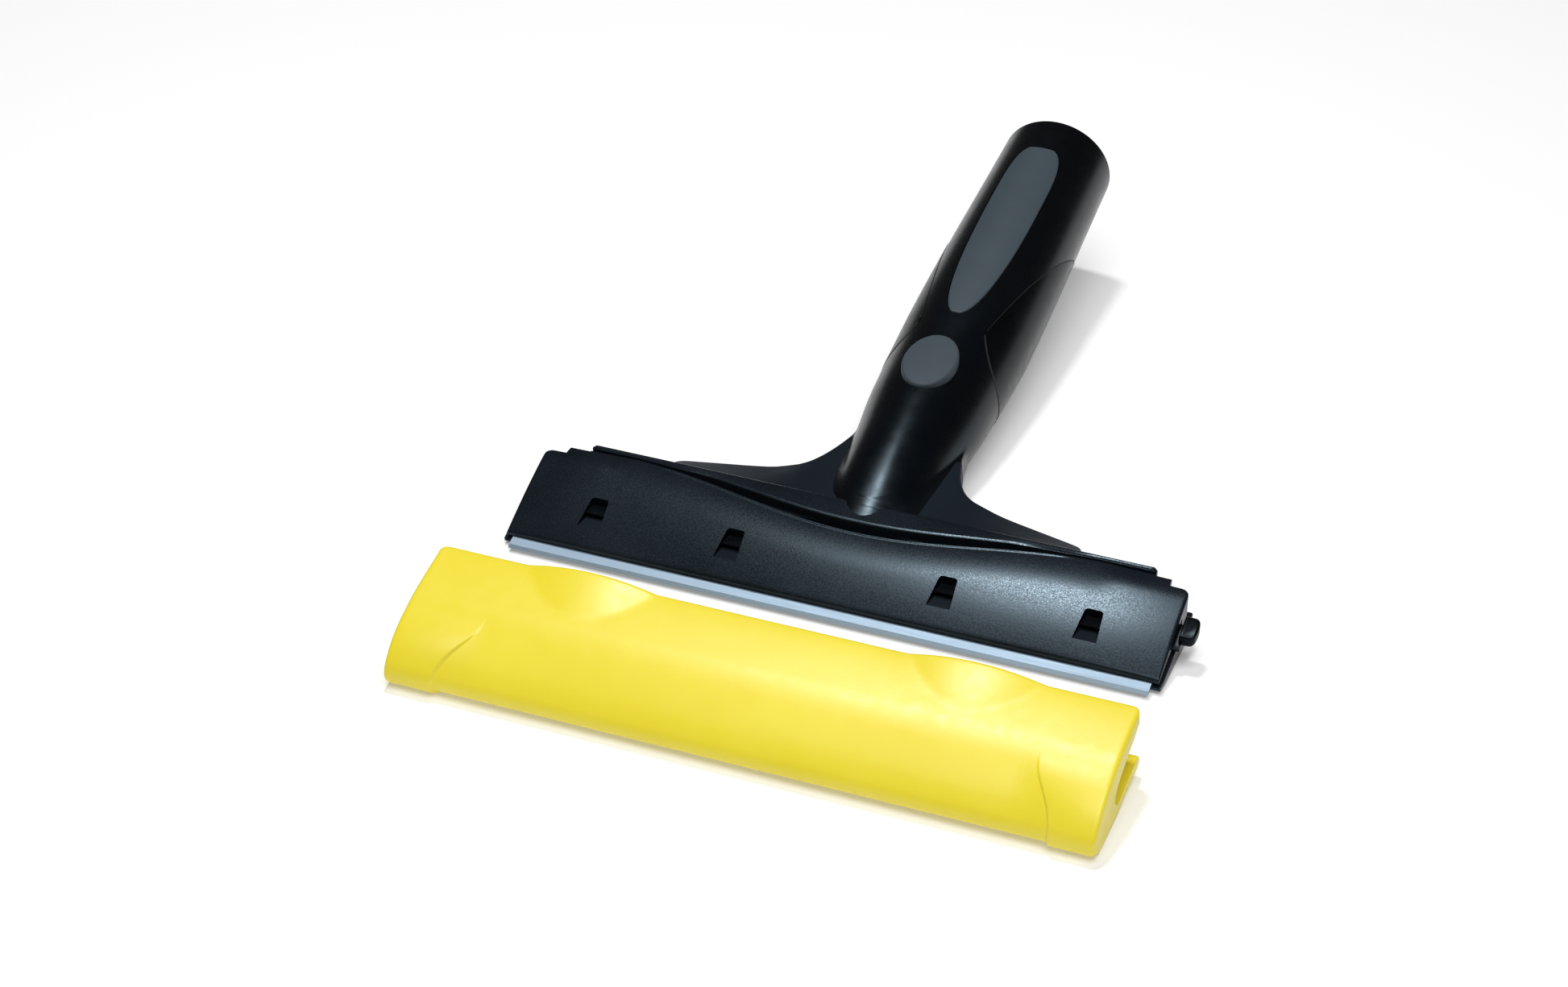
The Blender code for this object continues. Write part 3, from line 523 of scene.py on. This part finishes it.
def round_ring(s, radius, raised=0.0, dropped=0.0, count=96):
    """Ring round the handle's axis; its upper half can be raised and its lower half dropped."""
    ring = []
    for i in range(count):
        a = 2 * math.pi * (i + 0.5) / count
        shift = raised if math.cos(a) > 0 else -dropped
        ring.append(on_handle(s, radius * math.sin(a), radius * math.cos(a) + shift))
    return ring


BUTTON_S = 76.4
BUTTON_HALF_WIDTH, BUTTON_HALF_LENGTH = 6.4, 9.05
BUTTON_GAP = 0.15
BUTTON_LOW, BUTTON_SHOULDER = 13.2, 15.0       # heights over the handle's axis
BUTTON_EDGE, BUTTON_DOME = 0.75, 0.4


def oval_ring(n, half_width, half_length, count=72):
    """Ring of the button's plan at height n over the handle's axis."""
    ring = []
    for i in range(count):
        a = 2 * math.pi * i / count
        ring.append(on_handle(BUTTON_S + half_length * math.cos(a), half_width * math.sin(a), n))
    return ring


PAD_START, PAD_WIDEST, PAD_END = 94.3, 138.0, 160.7
PAD_HALF = 6.85
INLAY_GAP = 0.08
INLAY_PROUD, INLAY_DEPTH = 0.12, 1.2
RECESS_DEPTH = 1.5


def pad_half_width(s):
    """Half width of the thumb pad, a blunt oval that is widest behind its middle."""
    if s < PAD_WIDEST:
        t, power = (PAD_WIDEST - s) / (PAD_WIDEST - PAD_START), 2.3
    else:
        t, power = (s - PAD_WIDEST) / (PAD_END - PAD_WIDEST), 3.6
    return PAD_HALF * max(0.0, 1 - min(1.0, t) ** power) ** (1 / power)


def pad_grid(offset, spread, edge=0.0, rows=60, columns=20):
    """Thumb pad's surface over the handle, grown by spread, with its border rounded by edge."""
    grid = []
    for i in range(rows + 1):
        s = lerp(PAD_START, PAD_END, 0.5 - 0.5 * math.cos(math.pi * lerp(0.03, 0.97, i / rows)))
        width = pad_half_width(s)
        half = (width + spread) / handle_radii(s)[1]
        shift = spread * (2 * i / rows - 1)
        row = []
        for j in range(columns + 1):
            t = -math.cos(math.pi * j / columns)
            inward = min((1 - abs(t)) * width, s - PAD_START - 0.2, PAD_END - s - 0.2)
            row.append(handle_skin(s + shift, half * t, offset - edge_round(max(0.0, inward), edge)))
        grid.append(row)
    return grid


GRIP_EDGE = math.radians(33)                   # how near the handle's top the grip's points come
GRIP_BORDER = (0.0, 0.1, 0.25, 0.55)
# each edge: where it starts on the flank, how far it sweeps under the handle, and in how many degrees
GRIP_FRONT, FRONT_SWEEP, FRONT_TURN = 91, 11, 20
GRIP_REAR, REAR_SWEEP, REAR_TURN = 93, 55, 35


def grip_grid(offset, spread, edge=0.0, rows=180, columns=18):
    """Soft grip's surface round the underside; its front and rear edges meet in a point on each flank."""
    grid = []
    for i in range(rows + 1):
        limit = GRIP_EDGE - spread / HANDLE_RADIUS
        angle = lerp(limit, 2 * math.pi - limit, i / rows)
        reach = max(GRIP_EDGE, min(angle, 2 * math.pi - angle))
        turn = math.degrees(reach - GRIP_EDGE)
        front = GRIP_FRONT - FRONT_SWEEP * (1 - math.exp(-turn / FRONT_TURN)) - spread
        rear = GRIP_REAR + REAR_SWEEP * (1 - math.exp(-turn / REAR_TURN)) + spread
        border = GRIP_BORDER[-1]
        inner = [lerp(front + border, rear - border, j / columns) for j in range(1, columns)]
        places = [front + d for d in GRIP_BORDER] + inner + [rear - d for d in reversed(GRIP_BORDER)]
        grid.append([handle_skin(s, angle, offset - edge_round(min(s - front, rear - s), edge))
                     for s in places])
    return grid


# ---- head ----
PLATE_REAR = 21.5              # the plate's rear edge at the middle, from where it waves back to both sides
WAVE_DEPTH, WAVE_REACH = 3.15, 58.0


def plate_wave(x):
    """Rear edge of the clamp plate."""
    return PLATE_REAR + WAVE_DEPTH * (1 - math.cos(math.pi * min(abs(x), WAVE_REACH) / WAVE_REACH))


def plate_top(x, y):
    """Height of the clamp plate's top: a shallow arch that rolls down to its rear edge and its ends."""
    middle = 1 - smooth((abs(x) - 55) / 8)
    roll = 0.78 * middle * max(0.0, 1 - (plate_wave(x) - y) / 10.0) ** 2
    roll += 0.03 * (1 - middle) * max(0.0, y - 22) ** 2
    return 3.7 + 0.5 * (y - 3) - 0.0041 * (y - 3) ** 2 - roll - 0.001 * max(0.0, abs(x) - 58) ** 2


RIM_LEFT, RIM_RIGHT = -66.5, 68.0


def rim_outline(x, drop):
    """Section of the rim behind the plate: a falling top, a bright-catching chamfer and a blunt front."""
    reach = abs(x)
    open_part = 1 - smooth((reach - 34) / 15)
    front = plate_wave(x) + lerp(0.34, 1.9 - 0.012 * reach, open_part) + drop
    rear = WALL_REAR - drop
    low = lerp(12.85, 12.15 + 0.6 * smooth(reach / 35), open_part) - drop
    high = RIM_Z - drop
    slope = (high - low) / (rear - front)
    bevel = 0.04 + 0.20 * open_part
    return rounded([
        (front, 8.8, 0.0), (front, low + 0.6 * slope - bevel, 0.12), (front + 0.6, low + 0.6 * slope, 0.05),
        (rear - 0.6, high, 0.3), (rear, high - 0.35, 0.3), (rear, 8.8, 0.0),
    ], 0.3, 4)


BLADE_TILT = math.radians(15.0)
BLADE_WIDTH, BLADE_HALF_THICKNESS = 18.0, 0.25
EDGE_Z = 1.2                                   # height of the cutting edge over the table


def blade_z(y):
    return EDGE_Z + y * math.tan(BLADE_TILT)


BED = BLADE_HALF_THICKNESS / math.cos(BLADE_TILT) + GAP
STOP_Y = BLADE_WIDTH * math.cos(BLADE_TILT) + 0.4


def build_body():
    """Handle, webs and jaw as one shell, with its hollows cut out."""
    stations = [28.0 + 0.31 * i for i in range(11)] + [31.12 + 0.45 * i for i in range(60)]
    stations += [58.5 + 2.2 * i for i in range(52)]
    stations = [s for s in stations if s < 171.0]
    stations += [171.0, 171.2, 171.4, 171.6, 171.8, 171.93, HANDLE_END]
    around, across = 26, 26
    rings = []
    for s in stations:
        half = body_ring(s, around, across)
        whole = half + [(-x, n) for x, n in reversed(half[1:-1])]
        rings.append([on_handle(s, x, n) for x, n in whole])
    count = len(rings[0])
    first, last = around + NEAR_COLUMNS, around + 2 * across - NEAR_COLUMNS
    webbed = [WEB_START < s and web_half_width(s) > 14.3 for s in stations]

    # Slot 2 is the webs' satin finish. On the +X side it starts two columns further out than on the -X side,
    # so the wider black band there is painted shadow of the neck.
    def web_finish_and_painted_shadow(row, i):
        side, near = min(i, count - 1 - i), first if 2 * i < count else first - 2
        return 2 if webbed[row] and near <= side < last else 0

    bm = bmesh.new()
    loft(bm, rings, web_finish_and_painted_shadow)
    body = make("handle_shell", bm, body_black, plate_black, satin_black)

    steps = []

    def join(outline, x_low, x_high, radius, turns=3):
        form = bmesh.new()
        bar(form, outline, x_low, x_high, radius, turns)
        steps.append(("UNION", form, 1))

    join(rounded([
        (2.5, 0.8, 0.15), (6.0, 0.0, 0.8), (27.0, 0.0), (27.0, 5.2), (23.4, 5.2), (23.4, 2.2),
        (19.3, 2.2), (19.3, 6.2), (STOP_Y, 6.2), (STOP_Y, blade_z(STOP_Y) - BED),
        (2.5, blade_z(2.5) - BED, 0.1),
    ], 0.3, 3), -77.2, 77.2, 0.4)
    join(rounded([(23.6, 0.0), (29.8, 0.0, 0.6), (29.8, 10.2), (23.6, 10.2)], 0.2, 3), -67.2, 67.2, 0.3)
    rim = bmesh.new()
    rings = []
    for i in range(181):
        x = lerp(RIM_LEFT, RIM_RIGHT, i / 180)
        drop = edge_round(min(x - RIM_LEFT, RIM_RIGHT - x), 0.4)
        rings.append([point(x, y, z) for y, z in rim_outline(x, drop)])
    loft(rim, rings)
    steps.append(("UNION", rim, 1))
    join(rounded([(28.9, 0.2), (32.0, 0.6), (31.6, 6.0), (30.1, 11.4), (28.9, 11.6)], 0.15, 2),
         -52.3, 52.3, 0.3)
    for side in (-1, 1):
        ends = sorted((side * 69.5, side * 74.8))
        join(rounded([(20.4, 1.0), (24.6, 1.0), (24.6, 9.3), (20.4, 9.3)], 0.4, 3), *ends, 0.2)
    join(rounded([(21.3, 1.0), (24.4, 1.0), (24.4, 8.8), (21.3, 8.8)], 0.3, 2), 43.0, 63.0, 0.2)

    def remove(rings):
        form = bmesh.new()
        loft(form, rings)
        steps.append(("DIFFERENCE", form, 0))

    remove([round_ring(s, SOCKET_RADIUS) for s in (SOCKET_START, HANDLE_END + 2)])
    remove([round_ring(s, NOSE_RADIUS) for s in (NOSE_START, SOCKET_START + 1)])
    well = (BUTTON_HALF_WIDTH + BUTTON_GAP, BUTTON_HALF_LENGTH + BUTTON_GAP)
    remove([oval_ring(n, *well) for n in (11.4, 18.0)])
    remove([round_ring(s, YOKE_RADIUS, YOKE_RAISED, YOKE_DROPPED) for s in YOKE_SLOT])
    arm_slot = ((-4.8, 8.9), (4.8, 8.9), (4.8, 13.2), (-4.8, 13.2))
    remove([[on_handle(s, x, n) for x, n in arm_slot] for s in (69.2, 91.8)])
    for grid in (pad_grid, grip_grid):
        recess = bmesh.new()
        shell(recess, grid(RECESS_DEPTH, INLAY_GAP), grid(-RECESS_DEPTH, INLAY_GAP))
        steps.append(("DIFFERENCE", recess, 0))
    bed = bmesh.new()
    front, rear, deep = 4.7, 16.3, BED + 0.8
    bar(bed, [(front, blade_z(front) - deep), (rear, blade_z(rear) - deep),
              (rear, blade_z(rear) + 1), (front, blade_z(front) + 1)], -72.3, 72.3, 0.01)
    steps.append(("DIFFERENCE", bed, 1))
    carve(body, steps)
    finish_piece(body, "handle", "handle_body", slot="black_plastic")


def build_inlays():
    """Thumb pad, soft grip and the liner of the pole socket."""
    bm = bmesh.new()
    shell(bm, pad_grid(INLAY_PROUD, 0.0, 0.5), pad_grid(-INLAY_DEPTH, 0.0))
    finish_piece(make("thumb_inlay", bm, slate), "handle", "thumb_pad", slot="slate_rubber")
    bm = bmesh.new()
    # The grip's border strips take slot 1, the grey painted highlight along its raised edges.
    shell(bm, grip_grid(INLAY_PROUD, 0.0, 0.2), grip_grid(-INLAY_DEPTH, 0.0), 1)
    finish_piece(make("grip_saddle", bm, soft_black, painted_edge_highlight), "handle", "soft_grip", slot="soft_black")
    sleeve = bmesh.new()
    chamfer = 0.3
    loft(sleeve, [round_ring(97.6, SLEEVE_OUTER), round_ring(171.2, SLEEVE_OUTER),
                  round_ring(SLEEVE_END, SLEEVE_OUTER - chamfer)])
    sleeve = make("socket_liner", sleeve, liner)
    bore = bmesh.new()
    loft(bore, [round_ring(95, SLEEVE_INNER), round_ring(171.1, SLEEVE_INNER),
                round_ring(SLEEVE_END, 9.6), round_ring(SLEEVE_END + 1, 9.6)])
    carve(sleeve, [("DIFFERENCE", bore, 0)])
    finish_piece(sleeve, "handle", "socket_sleeve", slot="liner_plastic")


def build_button():
    """Oval push button with a rounded edge and a slightly domed top."""
    width, length = BUTTON_HALF_WIDTH, BUTTON_HALF_LENGTH
    rings = [oval_ring(n, width, length) for n in (BUTTON_LOW, BUTTON_SHOULDER)]
    for k in range(1, 7):
        a = math.pi / 2 * k / 6
        inset = BUTTON_EDGE * (1 - math.cos(a))
        rings.append(oval_ring(BUTTON_SHOULDER + BUTTON_EDGE * math.sin(a), width - inset, length - inset))
    for k in range(1, 9):
        t = 1 - k / 9
        height = BUTTON_SHOULDER + BUTTON_EDGE + BUTTON_DOME * (1 - t * t)
        rings.append(oval_ring(height, (width - BUTTON_EDGE) * t, (length - BUTTON_EDGE) * t))
    bm = bmesh.new()
    loft(bm, rings)
    finish_piece(make("button_cap", bm, slate), "lock", "lock_button", slot="slate_rubber")


# ---- clamp plate ----
PLATE_FRONT = 2.9
PLATE_HALF = 76.6
PLATE_THICKNESS = 1.8
TAB_LEFT, TAB_RIGHT = 71.5, 71.9               # where the outer tabs begin
WINDOWS = (-58.35, -25.1, 25.1, 58.35)


def build_plate():
    """Clamp plate: an arched sheet with a waved rear edge, stepped tabs at its ends and four windows.

    Its columns crowd together at the ends, the tabs and the ends of the rim, and its rows at both edges.
    """
    near = (-0.3, -0.15, 0.0, 0.15, 0.3)
    xs = [-65.9 + 133.0 * i / 150 for i in range(151)]
    left = [-PLATE_HALF, -76.57, -76.5, -76.35, -76.15, -75.9, -75.6, -75.4, -75.0, -74.4, -73.6, -72.6]
    left += [-TAB_LEFT + 0.1 * k for k in (-1, 0, 1)] + [-69.0] + [RIM_LEFT + k for k in near]
    right = [RIM_RIGHT + k for k in near] + [70.0] + [TAB_RIGHT + 0.1 * k for k in (-1, 0, 1)]
    right += [72.8, 73.6, 74.4, 75.0, 75.4, 75.6, 75.9, 76.15, 76.35, 76.5, 76.57, PLATE_HALF]
    xs = left + xs + right
    fractions = [0, 0.004, 0.01, 0.02, 0.035, 0.06, 0.1, 0.134, 0.15]
    fractions += [0.15 + 0.75 * i / 22 for i in range(1, 23)]
    fractions += [0.915, 0.93, 0.942, 0.952, 0.96, 0.967, 0.974, 0.98, 0.986, 0.992, 0.997, 1.0]
    top, low = [], []
    for x in xs:
        reach = abs(x)
        tab_in = (RIM_RIGHT if x > 0 else -RIM_LEFT) - 0.15
        tab_out = (TAB_RIGHT if x > 0 else TAB_LEFT) - 0.08
        rear = plate_wave(x)
        inward = smooth((reach - tab_in) / 0.3)
        outward = smooth((reach - tab_out) / 0.16)
        corner = min(1.0, max(0.0, reach - 74.6) / 2.0)
        rear = lerp(lerp(rear, 27.5, inward), 25.3, outward) - 2.0 * (1 - math.sqrt(1 - corner ** 2))
        side = edge_round(PLATE_HALF - reach, 0.55)
        bead = 0.14 * (1 - smooth((reach - 44) / 8))
        top_row, low_row = [], []
        for f in fractions:
            y = lerp(PLATE_FRONT, rear, f)
            raised = bead * max(0.0, 1 - abs(rear - 0.45 - y) / 0.45)
            round_off = max(side, edge_round(y - PLATE_FRONT, 0.5), edge_round(rear - y, 0.3))
            z = plate_top(x, y) - round_off + raised
            under = plate_top(x, y) - PLATE_THICKNESS + raised
            if f < 0.14:
                under = blade_z(y) + BED
            if reach > 75.5:
                under = blade_z(y) + 0.75 if y < 20.0 else 5.6
            top_row.append(point(x, y, z))
            low_row.append(point(x, y, min(under, plate_top(x, y) - 0.9)))
        top.append(top_row)
        low.append(low_row)
    bm = bmesh.new()
    shell(bm, top, low)
    plate = make("curved_plate", bm, plate_black, satin_black, body_black)
    steps = []
    plan = rounded([(-2.75, 7.5, 0.1), (2.75, 7.5, 0.1), (2.05, 14.9, 0.8), (-2.05, 14.9, 0.8)], 0.5, 5)
    for centre in WINDOWS:
        hole = bmesh.new()
        loft(hole, [[point(centre + x, y, z) for x, y in plan] for z in (2.5, 13.0)])
        steps.append(("DIFFERENCE", hole, 2))
    # each window's floor: a tongue in front and a slope behind it
    for centre in WINDOWS:
        ends = (centre - 3.2, centre + 3.2)
        tongue = bmesh.new()
        z = plate_top(centre, 7.5) - 0.22
        bar(tongue, [(7.35, z - 0.9), (11.9, z - 0.7), (11.9, z), (7.35, z)], *ends, 0.01, 1)
        steps.append(("UNION", tongue, 1))
        back = bmesh.new()
        wall = [(11.3, 6.75), (15.4, 6.9), (16.4, 7.9), (16.4, 8.3), (15.2, 7.3), (11.3, 7.1)]
        bar(back, wall, *ends, 0.01, 1)
        steps.append(("UNION", back, 2))
    notch = bmesh.new()
    bar(notch, [(11.6, 3.0), (19.5, 3.0), (19.5, 8.75), (11.6, 6.0)], 75.0, 80.0, 0.01)
    steps.append(("DIFFERENCE", notch, 2))
    carve(plate, steps)
    finish_piece(plate, "plate", "clamp_plate", angle=40.0, slot="black_plastic")


# ---- slider ----
KNOB_MIDDLE, KNOB_HALF = (79.3, 15.9), (1.9, 2.7)
KNOB_FRONT, KNOB_Z, KNOB_RISE = 13.2, 5.9, 0.32
KNOB_ROUND = 0.6
KNOB_PLAN = ((77.6, 13.2, 0.1), (80.9, 13.2, 1.9), (81.35, 16.2, 1.2), (80.9, 18.6, 1.5), (77.6, 18.6, 0.1))


def build_slider():
    """Bar under the plate and the flat rounded knob at its right end."""
    bm = bmesh.new()
    bar(bm, rounded([(12.0, 5.05), (18.2, 6.7), (18.2, 8.0), (12.0, 5.6)], 0.15, 2), -72.0, 78.2, 0.15)
    slider = make("slider_bar", bm, soft_black)
    plan = rounded(KNOB_PLAN, 1.0, 6)
    rings = []
    for k in range(12):
        side = -1 if k < 6 else 1
        a = math.pi / 2 * (k if k < 6 else 11 - k) / 5
        inset, height = KNOB_ROUND * (1 - math.sin(a)), 1.3 + side * (0.8 + 0.5 * math.cos(a))
        kx, ky = (1 - inset / half for half in KNOB_HALF)
        rings.append([point(lerp(KNOB_MIDDLE[0], x, kx), lerp(KNOB_MIDDLE[1], y, ky),
                            KNOB_Z + KNOB_RISE * (y - KNOB_FRONT) + height) for x, y in plan])
    knob = bmesh.new()
    loft(knob, rings)
    carve(slider, [("UNION", knob, 0)])
    finish_piece(slider, "slider", "release_slider", slot="black_plastic")


# ---- cover ----
# section of the channel, from the mouth's upper edge round the nose and back inside; a third value is a radius
COVER = (
    (-25.4, 17.3, 0.5), (-26.2, 17.9, 0.5), (-29.5, 17.4), (-33.0, 16.7), (-37.0, 15.8), (-40.7, 14.9),
    (-45.0, 13.2), (-49.0, 10.9), (-52.4, 8.3), (-54.8, 5.5), (-55.6, 3.4), (-55.0, 1.8), (-53.2, 0.8),
    (-50.5, 0.5), (-44.0, 0.5), (-35.5, 1.2), (-26.0, 2.1), (-24.9, 2.6), (-24.6, 3.7), (-25.0, 4.7),
    (-25.9, 5.1), (-33.0, 4.4), (-38.0, 3.5), (-40.6, 3.6), (-42.0, 4.9), (-42.1, 6.7), (-39.6, 9.2),
    (-33.3, 12.1), (-26.2, 13.4), (-25.2, 14.0, 0.3),
)
COVER_LEFT, COVER_RIGHT = 1.5 - 78.9, 1.5 + 78.9
COVER_STEP = 0.7               # how far the end zones stand proud
FLARES = (-41.8, 45.2)         # middles of the two swells in the mouth's upper edge
FLARE_HALF, FLARE_RISE, FLARE_DEPTH = 15.2, 1.9, 12.0
END_ROUND = 0.9


def cover_raise(y, z):
    """How far an end zone stands proud at a place on the section: full on the nose, none at the mouth."""
    if z > 9.5:
        return COVER_STEP * smooth((-42.5 - y) / 9)
    if y > -43.0:
        return COVER_STEP * smooth((-33.0 - y) / 9) if z < 1.3 else 0.0
    return COVER_STEP if z < 1.3 or y < -46 else 0.0


def cover_arc(side, y):
    """Where an end zone begins, in a curve that runs outward down the nose."""
    t = smooth((-44.0 - y) / 12)
    return lerp(-59.0, -66.2, t) if side < 0 else lerp(64.6, 70.4, t)


def build_cover():
    """Yellow channel: one section drawn along X, with rounded ends, proud end zones and two flares."""
    outline = rounded(COVER, 5.0, 3)
    normals = outline_normals(outline)
    ends = []
    for k in range(8):
        a = math.pi / 2 * k / 7
        ends.append((COVER_LEFT + END_ROUND * (1 - math.cos(a)), END_ROUND * (1 - math.sin(a))))
    ends += [(COVER_LEFT + 1.6, 0.0), (COVER_LEFT + 2.6, 0.0)]
    mirrored = [(COVER_LEFT + COVER_RIGHT - x, inset) for x, inset in reversed(ends)]
    left_arc = [("left", 1 - k / 6) for k in range(7)]
    right_arc = [("right", k / 6) for k in range(7)]
    first, second = ([(centre + FLARE_HALF * (i / 16 - 1), 0.0) for i in range(33)] for centre in FLARES)
    middle = [(lerp(-26.0, 29.4, i / 24), 0.0) for i in range(25)]
    rings = []
    # from left to right: rounded end, border of the end zone, flare, plain middle, and the same again
    for place, inset in ends + left_arc + first + middle + second + right_arc + mirrored:
        ring = []
        for (y, z), (ny, nz) in zip(outline, normals):
            proud = cover_raise(y, z)
            back = 0.0
            if place in ("left", "right"):
                side = -1 if place == "left" else 1
                x = cover_arc(side, y) + side * (inset - 0.5) * 0.8
                push = proud * smooth(inset)
            else:
                x = place
                inner = y > -42.5 and z < 13.0 or z < 5.2 and y > -43.0
                push = (proud if x < -60 or x > 66 else 0.0) - inset * (0.3 if inner else 1.0)
                corner = min(x - COVER_LEFT, COVER_RIGHT - x)
                back = edge_round(corner, 2.2) * 0.75 * smooth((y + 29.0) / 3.0) if z > 9 else 0.0
            dz = 0.0
            if z > 14.5:
                for centre in FLARES:
                    reach = 1 - ((x - centre) / FLARE_HALF) ** 2
                    height = FLARE_RISE * (reach - (-25.4 - y) / FLARE_DEPTH)
                    dz += 0.5 * (height + math.sqrt(height ** 2 + 0.003)) - 0.0005
            low = z + nz * push
            if z < 0.9 and push > 0:
                low = z - 0.5 * smooth(inset) if place in ("left", "right") else z - 0.5
            ring.append(point(x, y + ny * push - back, low + max(0.0, dz)))
        rings.append(ring)
    bm = bmesh.new()
    loft(bm, rings)
    finish_piece(make("cover_channel", bm, yellow), "cover", "blade_cover", angle=50.0,
                 slot="yellow_plastic")


build_body()
build_inlays()
build_button()
build_plate()
build_slider()
build_cover()

# ---- floor, lights and camera ----
FLOOR_HALF, FLOOR_Z = 4, -0.0002               # metres
mesh = bpy.data.meshes.new("floor")
corners = ((-1, -1), (1, -1), (1, 1), (-1, 1))
mesh.from_pydata([(FLOOR_HALF * x, FLOOR_HALF * y, FLOOR_Z) for x, y in corners], [], [(0, 1, 2, 3)])
floor = bpy.data.objects.new("floor", mesh)
bpy.context.scene.collection.objects.link(floor)
pale = Nodes("pale_floor")
shades = ((0.3, (0.81, 0.81, 0.81)), (0.7, (0.83, 0.83, 0.83)))
pale.link(pale.ramp(pale.noise(3.0), shades), pale.shader.inputs["Base Color"])
pale.set(Roughness=0.9, Specular_IOR_Level=0.0, Emission_Color=(1.0, 1.0, 1.0, 1.0), Emission_Strength=0.22)
mesh.materials.append(pale.material)


def area_light(name, place, target, size, power, colour=(1.0, 1.0, 1.0)):
    data = bpy.data.lights.new(name, "AREA")
    data.shape = "DISK"
    data.size = size
    data.energy = power
    data.color = colour
    lamp = bpy.data.objects.new(name, data)
    lamp.location = place
    lamp.rotation_euler = (Vector(target) - Vector(place)).to_track_quat("-Z", "Y").to_euler()
    bpy.context.scene.collection.objects.link(lamp)


area_light("key", (-0.122, 0.16, 0.75), (0.0, 0.0, 0.0), 0.10, 2.4)
area_light("wide_fill", (0.35, -0.60, 1.75), (0.0, 0.0, 0.0), 1.4, 25.0)

world = bpy.data.worlds.new("studio")
world.use_nodes = True
background = world.node_tree.nodes["Background"]
background.inputs["Color"].default_value = (1.0, 1.0, 1.0, 1.0)
background.inputs["Strength"].default_value = 0.07
bpy.context.scene.world = world
bpy.context.scene.view_settings.view_transform = "Standard"

lens = bpy.data.cameras.new("camera")
lens.lens = 75.0               # mm
lens.sensor_width = 36.0
lens.sensor_fit = "HORIZONTAL"
camera = bpy.data.objects.new("camera", lens)
camera.location = (0.20702, -0.55588, 0.42048)
camera.rotation_euler = (math.radians(90.0 - 33.67), 0.0, math.radians(21.63))
bpy.context.scene.collection.objects.link(camera)
bpy.context.scene.camera = camera
